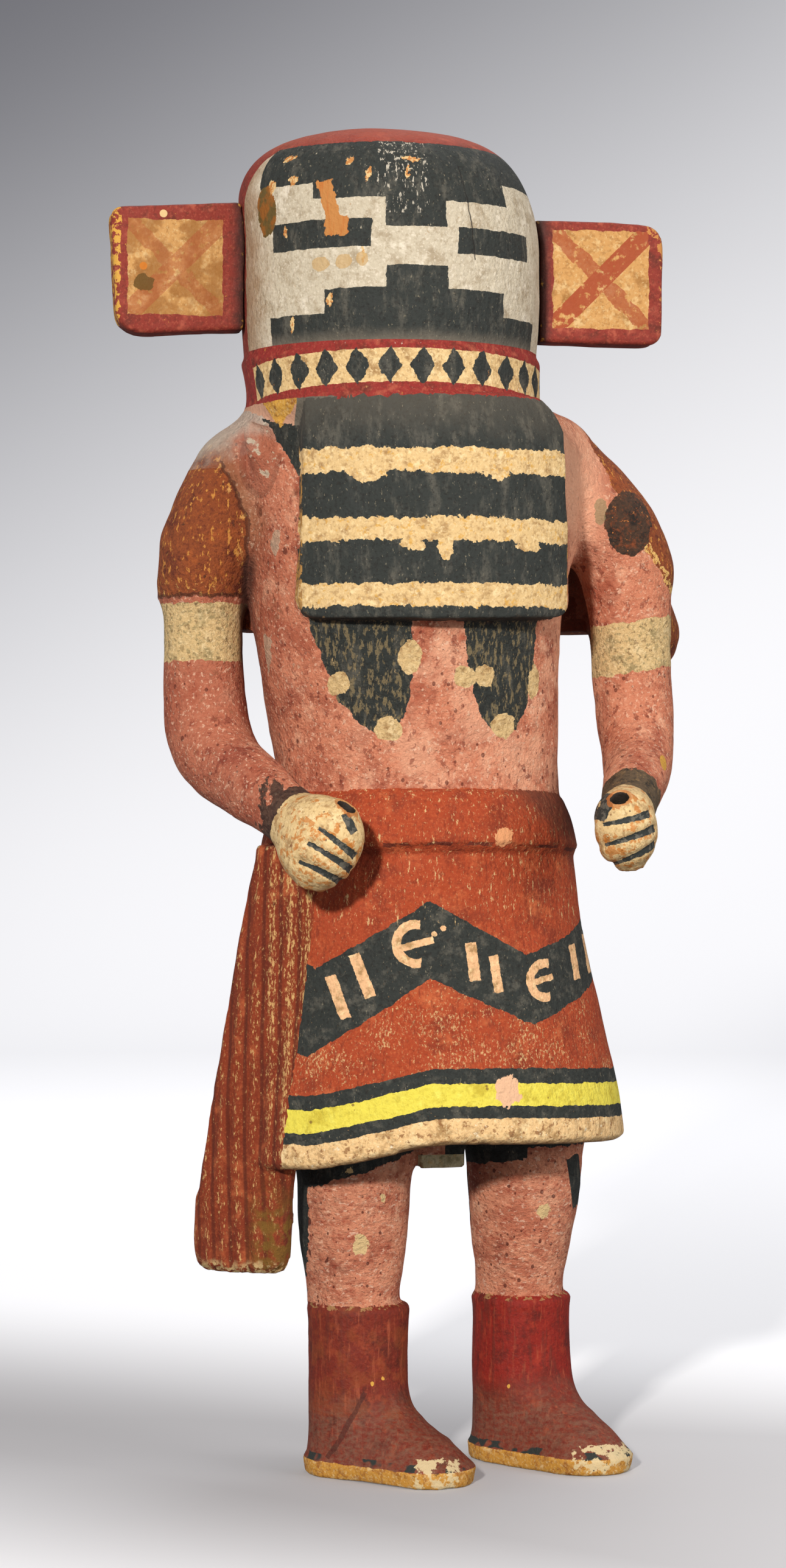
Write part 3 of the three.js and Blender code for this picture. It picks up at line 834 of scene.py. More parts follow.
def paint_mantle(p, u, v, shake_x):
    """Rust flaps and mantle."""
    y, z = p.y, p.z
    rust = p.mottled(RUST, RED_BROWN, (170, 88, 40), 6, 0.6)
    rust = p.flaked(rust, SOOT, 2.6, 0.1, None, 0.6)
    rust = p.flaked(rust, (214, 146, 66), 1.2, 0.2, (1, 1, 0.45), 0.85)
    edge = p.math("MAXIMUM", v - 246, 0) * 0.4
    flap = p.both(u + edge < -38.8, v > 227, v < 267)
    p.lay((126, 92, 56), p.soft(u + edge, -32, -38.5) * p.soft(z, 226, 250) * 0.5)
    p.lay(rust, flap)
    rim = p.either(u + edge > -41.6, v < 230.4)
    p.lay((216, 158, 88), p.both(flap, rim, p.patches(1.3, 0.2, 5, (1, 1, 0.6))) * 0.9)
    # A thin dark line along the flap's inner and lower edges: painted shade under the flap's edge.
    rim = p.either(p.near(u + edge, -38.9, 0.5), p.both(p.near(v, 227.2, 0.5), u < -38.8))
    p.lay((70, 34, 20), p.both(rim, p.near(v, 244, 18)) * 0.7)
    low_edge = p.math("MAXIMUM", 244 - v, 0) * 0.75
    high_edge = p.math("MAXIMUM", v - 244, 0) * 0.44
    left_flap = p.both(u - low_edge + high_edge > 63.5, v > 227)
    behind = p.both(y + shake_x > 6.6, z > MANTLE_BOTTOM - 1)
    side_lobe = p.ball((74, 12, 218.5), (8.6, 12.5, 13.5))
    p.lay(rust, p.either(left_flap, behind, side_lobe))
    ridge = p.both(p.near(u - low_edge, 64.6, 1.3), p.near(v, 236.5, 7.5))
    p.lay((226, 178, 104), p.both(ridge, p.patches(2, 0.5, 4)))
    p.lay(DUSTY_BROWN, p.both(behind, p.patches(15, 0.35, 4, None, 0.06)) * 0.6)


def paint_arm_shade(p):
    """The shade between the arms and the trunk."""
    x, y, z = p.x, p.y, p.z
    gap = p.soft(abs(x + 38.4), 2.6, 0.8) * p.soft(z, 242, 234) * p.soft(z, 206, 212)
    p.lay((58, 26, 16), p.both(gap, y > -16) * 0.85)
    under = p.both(p.near(x, 48, 8.5), z < 240, p.near(y, 8, 5), z > 217)
    p.lay((78, 30, 18), under * 0.85)


def paint_shoulders(p, u, v):
    """The dark lobe on the left shoulder, and a pale scuff on the right one, with painted shade along the
    right lobe's lower edge.
    """
    x, y, z = p.x, p.y, p.z
    dark = p.mottled((74, 52, 38), SOOT, RUST, 3)
    dark = p.flaked(dark, (214, 130, 62), 1.2, 0.1, None, 0.9)
    lobe = p.both(p.spot(u, v, (61.8, 247), 6.5, 8.6), y < 5)
    p.lay(dark, lobe)
    smudge = p.both(p.spot(u, v, (54, 250), 1.8, 3.6), y < 5)
    p.lay(GREEN_GREY, smudge * 0.7)
    lobe_right = p.ball((-37.4, -15, 263.5), (6, 6, 10.5))
    p.lay((170, 98, 72), lobe_right * 0.7)
    # A dark rim under the right lobe: painted shade in the crease below the bulge.
    outside = p.ball((-37.4, -15, 263.5), (7.2, 8, 12))
    rim = p.both(outside, 1 - lobe_right, z + x * 0.5 < 247, y < -6)
    p.lay((84, 40, 26), rim * 0.35)
    p.chip((206, 190, 164), 3.6, 0.2, None, 0.8, lobe_right)
    haze = p.soft(p.noise(5, 4) * 14 + (z - 268) - (x + 40) * 0.6, 1, 12)
    p.lay((190, 178, 162), p.both(haze, x < -24, z > 260) * 0.8)


def paint_bib_corner(p, u, v):
    """An ochre wedge and black brushed past the bib's upper corner."""
    x, y = p.x, p.y
    slant = u - (268 - v) * 0.5
    corner = p.both(p.near(slant, -28.5, 4.6), p.near(v, 264.5, 8), y < -8, x < -26)
    p.lay(black_coat(p, 3), corner)
    wedge = p.both(abs(u + 31.8) < (v - 269.6) * 0.8, y < -3, x < -24)
    p.lay(p.mottled(OCHRE, WOOD_DARK, CREAM, 3), wedge)


def paint_wrists(p):
    """Dark painted wrists."""
    back, off = wrist_place(p, "right")
    limb = p.both(off < 170, back > 2)
    ring = back + p.shaky(3, 2.4, 5) < 16.4
    spikes = p.both(back + p.shaky(5, 3) < 23, p.patches(4, 0.35, 5, (1, 0.4, 0.4)))
    sooty = p.coat((66, 52, 42), SOOT, p.patches(1.4, 0.5))
    p.lay(sooty, p.both(limb, p.either(ring, spikes)) * 0.9)
    back, off = wrist_place(p, "left")
    limb = p.both(off < 170, back > 2, back + p.shaky(3, 1.5) < 20.5)
    wrist = p.mottled((96, 78, 58), SOOT, (140, 110, 72), 3)
    wrist = p.flaked(wrist, CREAM_DIRTY, 1.2, 0.1, (1, 1, 0.3), 0.8)
    p.lay(wrist, limb)
    spot = p.both(p.spot(p.x, p.z, (68.5, 184.2), 1.2, 2), p.y < 0)
    p.lay(OCHRE, spot)


def body_paint():
    p = Paint("body_paint")
    x, y, z = p.x, p.y, p.z
    p.tone = p.mottled(PINK, PINK_DEEP, PINK_PALE, 12)
    # Darker pink down the doll's right flank: painted shade.
    p.lay(PINK_DEEP, p.soft(x + p.shaky(9, 5), -24, -44) * 0.45)
    p.lay((158, 74, 50), p.patches(15, 0.35, 4, None, 0.07) * 0.65)
    # Paler patches over the middle of the trunk: painted light.
    middle = p.soft(abs(x - 22), 46, 22)
    p.lay(PINK_PALE, middle * p.patches(11, 0.5, 5, None, 0.08) * 0.6)
    p.lay(BLOOD, p.specks(1.9, 0.55, 0.45, (1, 1, 0.8)) * 0.7)
    p.lay(BLOOD, p.specks(5, 0.85, 0.25, (1, 1, 0.7)) * 0.75)
    p.chip((120, 44, 30), 2.6, 0.2, (1, 1, 0.7), 0.6)
    p.chip((240, 198, 168), 1, 0.2, None, 0.55)
    p.chip((120, 70, 42), 5, 0.1, None, 0.4)
    shake_x, shake_z = p.shaky(3.4, 1, 5), p.shaky(3, 1, 5)
    u, v = x + shake_x, z + shake_z
    # A pale patch on the front of the left shoulder: painted light.
    bright = p.soft(abs(x - 47), 12, 5) * p.soft(abs(z - 256), 20, 9)
    p.lay((236, 176, 142), p.both(bright, y < -4) * 0.6)
    paint_tongues(p, u, v)
    paint_armbands(p, v)
    paint_mantle(p, u, v, shake_x)
    paint_arm_shade(p)
    paint_shoulders(p, u, v)
    paint_bib_corner(p, u, v)
    paint_wrists(p)
    p.wear(CREAM_DIRTY, 0.16, 0.6)
    return p.finished(p.noise(2.4, 5, None, 0.7) * 1.8, depth=0.85)


def paint_mask_bands(p, angle, u, v, front):
    """Black stepped bands above and below, and the two eye bars."""
    z = p.z
    black = black_coat(p)
    pale_cluster = p.both(p.near(angle, -5, 10), z > 322)
    black = p.flaked(black, FACE_BRIGHT, 0.7, 0.2, (1, 1, 0.3), 0.6, pale_cluster)
    black = p.flaked(black, FACE_WHITE, 1, 0.05, (1, 1, 0.35), 0.85, z > 318)
    ink = black
    dusty = p.soft(z + p.shaky(5, 0.8), 294, 289.4)
    black = p.coat(black, (116, 106, 92), dusty * 0.65)
    blocks = [p.box(u, v, *row) for row in (
        (-67, -39, 330.2, 342), (-40, -11, 326, 342), (-11.5, 11.5, 318.6, 342),
        (11, 41, 325.4, 342), (40, 74, 331.2, 342),
        (-60, -17, 313.6, 320.7), (16, 54, 312.3, 319),
        (-11.5, 12, 302, 308.9), (-35, 38, 296, 303.3), (-62, 61, 289, 297.2),
    )]
    p.lay(black, p.both(p.either(*blocks), front))
    return ink, black


def paint_mask_losses(p, angle):
    """Chips down to the wood, brown stains and tan spots."""
    z = p.z
    grain = p.coat(WOOD, (182, 108, 48), p.soft(p.noise(1.1, 3, (1, 1, 0.1)), 0.45, 0.65))
    ragged = p.shaky(1.8, 0.9, 5)
    lean = (330 - z) * 0.42
    patch = p.box(angle - lean + ragged * 1.5, z + ragged, -38.5, -32.2, 316.6, 330.5)
    foot = p.box(angle + ragged * 1.5, z + ragged, -35, -26, 316.8, 321.5)
    p.lay(grain, p.either(patch, foot))
    brown = p.spot(angle + ragged, z + ragged, (-63.5, 324.5), 5.8, 6.4)
    p.lay(p.coat((140, 84, 26), OLIVE, p.soft(p.noise(3), 0.4, 0.6)), brown)
    for middle, wide, tall in (
        ((-53, 337.5), 3, 0.8), ((-49, 331.5), 2.4, 1.1), ((-26, 335.5), 1, 1.3), ((-60, 330.5), 2, 1.8),
        ((-18, 332), 0.8, 1.6), ((-2, 336), 4.2, 0.5), ((-3, 332.6), 0.7, 1.6), ((-33, 300.4), 1.2, 1.6),
        ((-50, 295), 1, 1.8), ((-53, 318.5), 0.8, 1.8), ((-20, 311.5), 0.7, 2.4),
    ):
        chip = p.spot(angle + ragged * 1.8, z + ragged * 1.2, middle, wide, tall)
        p.lay(p.coat(grain, CREAM, p.patches(1, 0.5)), chip)
    for middle, wide in (((-37, 309.6), 3.6), ((-27.5, 310), 3.2), ((-20.5, 310.4), 2.4)):
        stain = p.spot(angle + ragged, z + ragged * 0.4, middle, wide, 1.8)
        p.lay((188, 152, 98), stain * 0.75)
    crack = p.stroke(angle + p.shaky(6, 0.8), z, (19, 335), (24, 311), 0.55)
    p.lay(SOOT, crack * 0.85)


def paint_collar(p, u, v, aside, ink, black):
    """The collar: cream with a row of black diamonds between two red lines."""
    z = p.z
    low = v + aside * aside * 0.0004
    cream = p.mottled(CREAM, CREAM_DIRTY, CREAM_BRIGHT, 4, 0.7)
    collar = p.both(aside < 77, z < COLLAR_TOP + 1)
    line = p.mottled((140, 40, 34), RED_BROWN, RED_PALE, 5)
    p.lay(line, z < COLLAR_TOP + 1.3)
    p.lay(cream, p.both(collar, p.near(low, 283.9, 4.15)))
    share = p.math("WRAP", u - 2.3 + p.shaky(2.2, 0.9), 6.2, -6.2)
    across = abs(share) * (1 / 4.5)
    up = abs(low - 283.9) * (1 / 4.7)
    diamond = p.both(across + p.math("POWER", up, 1.25) < 1, collar)
    p.lay(ink, diamond)
    p.chip((180, 116, 50), 1.5, 0.05, (1, 1, 0.4), 0.9, z < COLLAR_TOP + 1)
    p.chip(FACE_BRIGHT, 0.8, 0.05, (1, 1, 0.4), 0.8, z < COLLAR_TOP + 1)
    neck = p.both(v < 276.4, p.x < -20)
    p.lay((188, 142, 116), neck)
    wedge = abs(p.x + 31.6 + p.shaky(2, 0.6)) < (v - 269.4) * 0.55
    p.lay(p.mottled(OCHRE, WOOD_DARK, CREAM, 3), p.both(neck, wedge))
    p.lay(black, p.both(neck, p.x > -28.4))


def head_paint():
    p = Paint("head_paint")
    z = p.z
    angle = p.turned()
    shake_u, shake_v = p.shaky(4, 0.9, 4), p.shaky(3, 0.36, 4)
    u, v = angle + shake_u, z + shake_v
    aside = abs(angle)
    red = p.mottled(DARK_RED, RED_BROWN, RED_PALE, 9)
    # Paler red over the top of the head: painted light.
    red = p.coat(red, RED_PALE, p.soft(z + p.shaky(8, 2), 338, 345) * 0.55)
    red = p.flaked(red, CREAM_DIRTY, 1.6, 0.05, None, 0.7)
    # The white front, round at its upper corners
    corner = p.math("MAXIMUM", z - 322, 0)
    edge = 83 - corner * corner * 0.05
    front = p.both(aside + shake_u < edge, v < 340.8, z > COLLAR_TOP)
    white = p.mottled(FACE_WHITE, FACE_GREY, FACE_BRIGHT, 6, 0.55)
    # Browner towards the face's edge on the doll's right: painted shade where it turns away.
    white = p.coat(white, (150, 112, 78), p.soft(angle + p.shaky(6, 8), -58, -82) * 0.7)
    white = p.flaked(white, CREAM_DIRTY, 1.4, 0.05, None, 0.7)
    p.tone = p.coat(red, white, front)
    ink, black = paint_mask_bands(p, angle, u, v, front)
    paint_mask_losses(p, angle)
    paint_collar(p, u, v, aside, ink, black)
    p.wear(CREAM_DIRTY, 0.18, 0.6)
    return p.finished(p.noise(1.8, 4, (1, 1, 0.5)) * 1.2, depth=0.45, dull=0.78, grime=RED_BROWN, reach=0.6)


def bib_paint():
    p = Paint("bib_paint")
    x, z = p.x, p.z
    v = z + p.shaky(8, 0.7, 2) + p.shaky(1.7, 1.1, 5)
    black = black_coat(p, 4)
    # The black turns greyer towards the bib's top.
    greyer_top = p.soft(z + p.shaky(9, 4), 262, 276)
    black = p.coat(black, (108, 98, 84), greyer_top * 0.3)
    cream = p.mottled(CREAM, CREAM_DIRTY, CREAM_BRIGHT, 3, 0.6)
    cream = p.flaked(cream, OCHRE, 1.8, 0.2, None, 0.7)
    p.tone = black
    for low, high in ((256.9, 263.2), (239.8, 245.7), (223.4, 229.2)):
        p.lay(cream, p.near(v, (low + high) / 2, (high - low) / 2))
    drift = x + p.shaky(2, 1.2, 5)
    for middle, wide, tall in (((6.9, 238.6), 1.9, 4), ((-12.5, 256.8), 5, 2.2), ((-1.5, 238.8), 3, 1.4),
                               ((21, 256.6), 2.6, 1.2), ((29, 238.9), 3.6, 1.3)):
        p.lay(cream, p.spot(drift, v, middle, wide, tall))
    side = abs(x - BIB_MIDDLE) > BIB_HALF - 0.7
    p.lay(p.coat(OCHRE, DUSTY_BROWN, p.noise(3)), p.both(side, p.patches(2.4, 0.5)))
    p.lay((176, 104, 78), p.both(x > BIB_MIDDLE + BIB_HALF - 0.5, z > 222) * 0.8)
    p.wear(CREAM_DIRTY, 0.16, 0.7)
    return p.finished(p.noise(1.8, 4, (1, 1, 0.5)), depth=0.35, dull=0.8, grime=SOOT)


def paint_zigzag(p, red):
    """A zigzag band round the kilt."""
    x, z = p.x, p.z
    angle = p.turned(KILT_MIDDLE)
    leftward = p.math("MAXIMUM", angle + 9, 0)
    past = p.math("MAXIMUM", leftward - 42.5, 0)
    behind = p.math("MINIMUM", angle + 60, 0)
    spread = p.math("MINIMUM", angle + 9, 0) + leftward * 1.06 - past * 0.58 - behind * 0.137
    wave = p.math("PINGPONG", spread + 90 + p.shaky(5, 0.9, 4), 45) / 45
    peak = 1 - wave
    upper = peak * 15.5 + 133.5 + (x - 2) * 0.06
    lower = peak * 16 + 114 + (x - 5) * 0.14
    level = z + p.shaky(4, 0.5, 4) + p.shaky(1.2, 0.3, 3)
    band = p.both(level < upper, level > lower)
    black = black_coat(p, 4, None)
    black = p.flaked(black, CREAM_DIRTY, 0.7, 0.05, None, 0.8)
    p.tone = p.coat(red, black, band)
    return black


def paint_band_marks(p, light, su, sv, front):
    """Pairs of bars, and three-toed bird tracks, in the band."""
    marks = [p.stroke(su, sv, start, end, width) for start, end, width in (
        ((-20.2, 130.2), (-16.8, 119.6), 2.7), ((-14.6, 135.7), (-10.8, 125), 2.8),
        ((14.6, 138.6), (15.6, 129), 3), ((20.6, 135.3), (21.8, 126), 2.5),
        ((43.9, 137.4), (45.2, 128.4), 2.2), ((49.2, 139.6), (50.6, 129.6), 1.6),
        ((-3.6, 137.2), (5, 139.4), 1.8), ((31.4, 128.2), (37.2, 129.6), 1.6),
    )]
    for middle_x, middle_z, size in ((0.6, 138.4, 4.9), (34.9, 128.7, 4.3)):
        a, b = su - middle_x, sv - middle_z
        ring = p.near(p.math("SQRT", a * a + b * b), size, 1.15)
        marks.append(p.both(ring, a < 1.2))
    p.lay(light, p.both(p.either(*marks), front))
    for middle in ((5.2, 140.9), (7.6, 142.3)):
        p.lay(light, p.both(p.spot(su, sv, middle, 0.7), front))


def paint_hem(p, above_hem, v, black, front):
    """The yellow stripe between black lines, over the cream hem, with painted shade along and under its
    lower edge.
    """
    x, z = p.x, p.z
    p.lay(black, p.near(v, 12.8, 6.5))
    yellow = p.mottled(YELLOW, (190, 168, 50), (232, 220, 96), 4, 0.4)
    yellow = p.flaked(yellow, ORANGE, 1.2, 0.05, None, 0.7)
    yellow = p.coat(yellow, (126, 96, 40), p.specks(2.4, 0.5, 0.3) * 0.8)
    p.lay(yellow, p.near(v + p.shaky(2.2, 0.2), 12.8, 2.85))
    hem = p.mottled((226, 186, 132), CREAM_DIRTY, CREAM_BRIGHT, 4, 0.6)
    hem = p.flaked(hem, (132, 84, 44), 1.8, 0.2, None, 0.75)
    hem = p.flaked(hem, (238, 222, 190), 1.4, 0.1, None, 0.8)
    p.lay(hem, v < 6.9)
    # Brown along the hem's lower edge and soot on its underside: painted shade.
    bottom = p.soft(above_hem + p.shaky(2, 0.6, 4), 1.6, 0.2)
    p.lay((120, 82, 44), p.both(bottom, z < 100) * 0.8)
    p.lay(SOOT, p.both(above_hem < -0.4, z < 100) * 0.8)
    patch = p.spot(x + p.shaky(2.4, 1.8, 4), z + p.shaky(2.4, 1.8, 4), (23.4, 101.2), 3.4, 3.8)
    p.lay((222, 176, 140), p.both(patch, front))


def paint_belt(p, su, sv, front):
    """The belt has a cream dot, scratches, a dark line at its foot, and painted shade towards its end on
    the doll's left.
    """
    x, y, z = p.x, p.y, p.z
    dot_place = (su + p.shaky(2, 1.2, 5), sv + p.shaky(2, 1.2, 5))
    p.lay((220, 152, 104), p.both(p.spot(*dot_place, (23.6, 165.2), 2.5, 2.2), front))
    foot = z + y * 0.082 - BELT_BOTTOM - 1.2 + p.shaky(9, 0.9)
    p.lay(RED_BROWN, p.both(p.near(foot, 0, 0.45), p.patches(8, 0.5, 2)) * 0.85)
    upright = p.noise(0.9, 5, (1, 1, 0.25), rough=0.7)
    p.lay(CREAM, p.both(p.soft(upright, 0.605, 0.65), z > 143) * 0.85)
    # Darker brown towards the belt's end on the doll's left and just below it: painted shade.
    dirt_and_shade = p.soft(x + (z - 166) * 1.2 + p.shaky(9, 5), 32, 48) * p.soft(z, 146, 162)
    p.lay((84, 50, 36), dirt_and_shade * 0.7)


def kilt_paint():
    p = Paint("kilt_paint")
    x, y, z = p.x, p.y, p.z
    red = p.mottled(KILT_RED, KILT_DARK, KILT_PALE, 11, 0.5)
    fine = p.noise(0.55, 4, (1, 1, 0.6), rough=0.75)
    where = p.soft(p.noise(9, 2), 0.3, 0.7) * p.soft(z, 140, 112)
    red = p.coat(red, CREAM, p.soft(fine + where * 0.1, 0.6, 0.7) * 0.75)
    red = p.flaked(red, KILT_DARK, 1, 0.2, (1, 1, 0.2), 0.6)
    side = (x - KILT_MIDDLE) / KILT_HALF
    right = p.math("MINIMUM", p.math("MAXIMUM", -side - 0.1, 0), 0.6) * HEM_SAG_RIGHT
    left = p.math("MAXIMUM", side, 0)
    above_hem = z - HEM_LEVEL + right + left * left * HEM_SAG_LEFT
    v = above_hem + p.shaky(6, 0.45, 3) + p.shaky(1.4, 0.25, 3)
    black = paint_zigzag(p, red)
    light = p.mottled(BAR_CREAM, CREAM_DIRTY, CREAM_BRIGHT, 2.5)
    front = y < 2
    su, sv = x + p.shaky(1.5, 0.3, 3), z + p.shaky(1.5, 0.3, 3)
    paint_band_marks(p, light, su, sv, front)
    paint_hem(p, above_hem, v, black, front)
    paint_belt(p, su, sv, front)
    p.wear(CREAM_DIRTY, 0.16, 0.7)
    return p.finished(p.noise(1.6, 4, (1, 1, 0.5)) * 1.4, depth=0.5, dull=0.85, grime=RED_BROWN)


def sash_paint():
    p = Paint("sash_paint")
    x, y, z = p.x, p.y, p.z
    across = x * math.cos(SASH_FACING) + y * math.sin(SASH_FACING)
    red = p.mottled(SASH_RED, KILT_DARK, KILT_PALE, 9, 0.4)
    flutes = p.math("SINE", across * 1.32 + (z - 100) * 0.012)
    # Darker in the hollows of the flutes: painted shade.
    red = p.coat(red, (84, 30, 14), p.soft(flutes, -0.55, -1) * 0.7)
    lanes = p.soft(flutes + p.noise(5, 2, (1, 1, 0.12)) * 2, 0.7, 1.9)
    streaks = p.noise(0.6, 5, (1, 1, 0.35), rough=0.75)
    right_edge = p.soft(across, -26, -14) * p.soft(z, 56, 110) * 0.05
    p.tone = p.coat(red, (224, 178, 114), p.soft(streaks + lanes * 0.07 + right_edge, 0.61, 0.68) * 0.9)
    olive = p.both(p.soft(across, -26, -20), p.soft(z + p.shaky(6, 5), 80, 66))
    p.lay((124, 90, 30), olive * p.soft(p.noise(3, 4), 0.36, 0.56) * 0.85)
    foot = p.soft(z + p.shaky(3, 1.6, 4), 57.5, 54.5)
    p.lay(CREAM, foot * p.patches(1.6, 0.5, 4))
    p.wear(CREAM, 0.14, 0.8)
    return p.finished(streaks + flutes * 0.9, depth=0.6, dull=0.85, grime=RED_BROWN)


def hand_paint():
    p = Paint("hand_paint")
    x, y, z = p.x, p.y, p.z
    p.tone = p.mottled(FIST_CREAM, CREAM_DIRTY, CREAM_BRIGHT, 4, 0.7)
    p.lay((96, 62, 34), p.specks(1.7, 0.42, 0.3) * 0.8)
    p.chip((188, 112, 34), 3.6, 0.2, None, 0.85)
    p.chip((120, 62, 20), 1.4, 0.1, None, 0.8)
    p.chip(CREAM_BRIGHT, 0.9, 0.1, None, 0.7)
    shaken = (x + p.shaky(1.5, 0.3), z + p.shaky(1.5, 0.3))
    for side in FISTS:
        middle, away, up, half = FISTS[side]
        apart = [v - m for v, m in zip((x, y, z), middle)]
        ahead, height = (dot(apart, (np.array(way) / np.linalg.norm(way)).tolist()) for way in (away, up))
        here = p.both(p.near(apart[0], 0, 18), ahead > -0.3 * half[1])
        p.chip((190, 112, 32), 2.4, 0.35, None, 0.75, p.both(here, height < 6))
        marks = [p.stroke(*shaken, start, end, 2.1, 0.6) for start, end in FINGERS[side]]
        if side == "right":
            marks.append(p.stroke(*shaken, (-20.2, 171.4), (-18, 166.6), 2.4))
        else:
            marks.append(p.stroke(*shaken, (47.6, 176.4), (44.6, 169.6), 2))
        ink = p.coat(CHARCOAL, CHARCOAL_DUSTY, p.patches(2, 0.35))
        p.lay(ink, p.both(p.either(*marks), here))
        offset = ahead - BORE_FORWARD[side]
        sideways = dot(apart, apart) - ahead * ahead - height * height
        radius = p.math("SQRT", p.math("MAXIMUM", offset * offset + sideways, 0))
        here = p.near(apart[0], 0, 18)
        p.lay(ORANGE, p.both(radius + p.shaky(2, 0.6) < BORE / 2 + 1, here) * 0.7)
        # Near-black inside the bore: painted shade in the hole.
        p.lay((34, 22, 12), p.both(radius < BORE / 2 + 0.1, here))
    p.wear(CREAM_BRIGHT, 0.2, 0.5)
    return p.finished(p.noise(2, 4), depth=0.35, dull=0.74, shine=0.45, grime=SOOT, reach=0.6)


def leg_paint():
    p = Paint("leg_paint")
    x, y, z = p.x, p.y, p.z
    # The legs' pink is laid paler than the trunk's: painted light for the dimmer light under the kilt.
    p.tone = p.mottled((222, 144, 110), PINK_DEEP, PINK_PALE, 9, 0.5)
    p.lay((176, 88, 62), p.patches(9, 0.35, 4, (1, 1, 1.6), 0.07) * 0.6)
    p.lay(BLOOD, p.specks(1.7, 0.5, 0.5, (1, 1, 0.8)) * 0.8)
    p.lay(BLOOD, p.specks(4.4, 0.9, 0.3, (1, 1, 0.7)) * 0.85)
    p.chip((158, 66, 44), 2, 0.2, (1, 1, 1.8), 0.65)
    p.chip((244, 200, 172), 1.4, 0.2, (1, 1, 1.6), 0.6)
    shake = (x + p.shaky(2, 1.3, 5), z + p.shaky(2, 1.3, 5))
    for middle, size in (((-10.4, 60.3), 2.1), ((39.8, 66.9), 1.6), ((-4.4, 72.4), 1)):
        patch = p.both(p.spot(*shake, middle, size, size * 1.3), y < 4)
        p.lay((226, 192, 138), patch)
    black = black_coat(p, 3)
    ragged = p.shaky(5, 0.8) + p.shaky(1.6, 0.6)
    knee_right = p.both(z + ragged > (x + 19.5) * 0.33 + 76, x < BETWEEN_FEET)
    knee_left = p.both(z + ragged > (x - 20.6) * 0.16 + 78.6, x > BETWEEN_FEET, x < 35)
    thin_band = p.both(x > 34, z + ragged > 83.8)
    # Black down the outer side of the right leg: black paint, and painted shadow cast by the sash.
    side = x + (z - 60) * 0.03 + p.shaky(4, 0.8) < -22.8
    back = p.both(y > 9, z + p.shaky(5, 3) > 64)
    p.lay(black, p.either(knee_right, knee_left, thin_band, side, back))
    speck = p.both(p.spot(*shake, (-13.5, 79.4), 1.1, 0.7), y < 0)
    p.lay(CREAM, speck)
    # Cream between the legs, laid paler than its own tone: painted light in the shade there.
    crotch = p.both(p.near(x, 12, 6), p.near(y, 3, 12), z < 82.5)
    p.lay(p.mottled((214, 198, 156), GREEN_GREY, CREAM, 3), crotch)
    streak = p.both(p.near(x + (z - 74) * 0.2, 49.5, 2.2), p.near(z + p.shaky(3, 1.6), 74, 7))
    p.lay(black, streak)
    p.wear(CREAM_DIRTY, 0.16, 0.6)
    return p.finished(p.noise(2.2, 5, (1, 1, 1.5), 0.7) * 2.2, depth=0.85)


def boot_paint():
    p = Paint("boot_paint")
    x, y, z = p.x, p.y, p.z
    left = p.soft(x, 12, 20)
    red = p.mottled((112, 34, 18), (78, 26, 14), (144, 60, 32), 7, 0.5)
    bright = p.mottled(CRIMSON, (84, 20, 12), (156, 48, 26), 7, 0.5)
    shaft = p.soft(z + p.shaky(8, 4), 16, 26)
    p.tone = p.coat(red, bright, left * shaft)
    streaks = p.noise(1.6, 4, (1, 1, 0.1))
    p.lay(RED_BROWN, p.soft(streaks, 0.5, 0.68) * 0.6)
    p.lay((168, 84, 54), p.soft(p.noise(1.1, 4, (1, 1, 0.12)), 0.56, 0.72) * 0.5)
    warm = p.both(p.soft(p.noise(7, 3), 0.48, 0.62), x < 12, z > 16)
    p.lay((150, 76, 34), warm * 0.3)
    dusty = p.soft(z + p.shaky(7, 4), 24, 13)
    fibres = p.noise(0.9, 5, (0.5, 0.5, 1), 0.7)
    p.lay(DUSTY_BROWN, dusty * p.soft(fibres, 0.3, 0.75) * 0.75)
    cuff = z + p.shaky(3, 0.5) > BOOT_TOP - 0.6
    p.lay(CREAM_DIRTY, cuff * p.patches(2, 0.35) * 0.8)
    for middle, size in (((-7.4, 24.6), 0.45), ((-4.4, 25.8), 0.35), ((31.2, 20.8), 0.4)):
        chip = p.spot(x + p.shaky(1.2, 0.3), z, middle, size, size * 1.4)
        p.lay(OCHRE, p.both(chip, y < 5))
    crease = p.stroke(x + p.shaky(4, 0.5), z + p.shaky(3, 0.5), (-9.2, 22.4), (-18.4, 5), 1.1)
    p.lay((66, 26, 18), p.both(crease, y < 4) * 0.65)
    # The sole is ochre, with a black line above it in places, rubbed pale at the toes
    line = p.near(z + p.shaky(5, 0.45), SOLE + 0.9, 0.9)
    p.lay(CHARCOAL, p.both(line, p.patches(9, 0.5, 2)))
    ochre = p.mottled((192, 136, 54), (146, 88, 34), CREAM, 3, 0.7)
    sole = z + p.shaky(3, 0.35, 4) < SOLE
    p.lay(ochre, sole)
    ahead = x * TOE_WAY[0] + y * TOE_WAY[1]
    tip = p.either(p.both(x < BETWEEN_FEET, ahead + p.shaky(4, 2, 4) > TOE_REACH[0] - 8),
                   p.both(x > BETWEEN_FEET, ahead + p.shaky(4, 2, 4) > TOE_REACH[1] - 8))
    scraped = p.both(tip, p.patches(3.4, 0.5, 5), z + p.shaky(3, 1) < 7.4) * 0.85
    p.lay((212, 190, 146), scraped)
    p.lay(SOOT, p.both(tip, p.patches(1.6, 0.1, 5), z < 7.6) * 0.8)
    p.wear(CREAM_DIRTY, 0.2, 0.5)
    return p.finished(streaks * 0.8, depth=0.35, dull=0.7, shine=0.3, grime=SOOT)


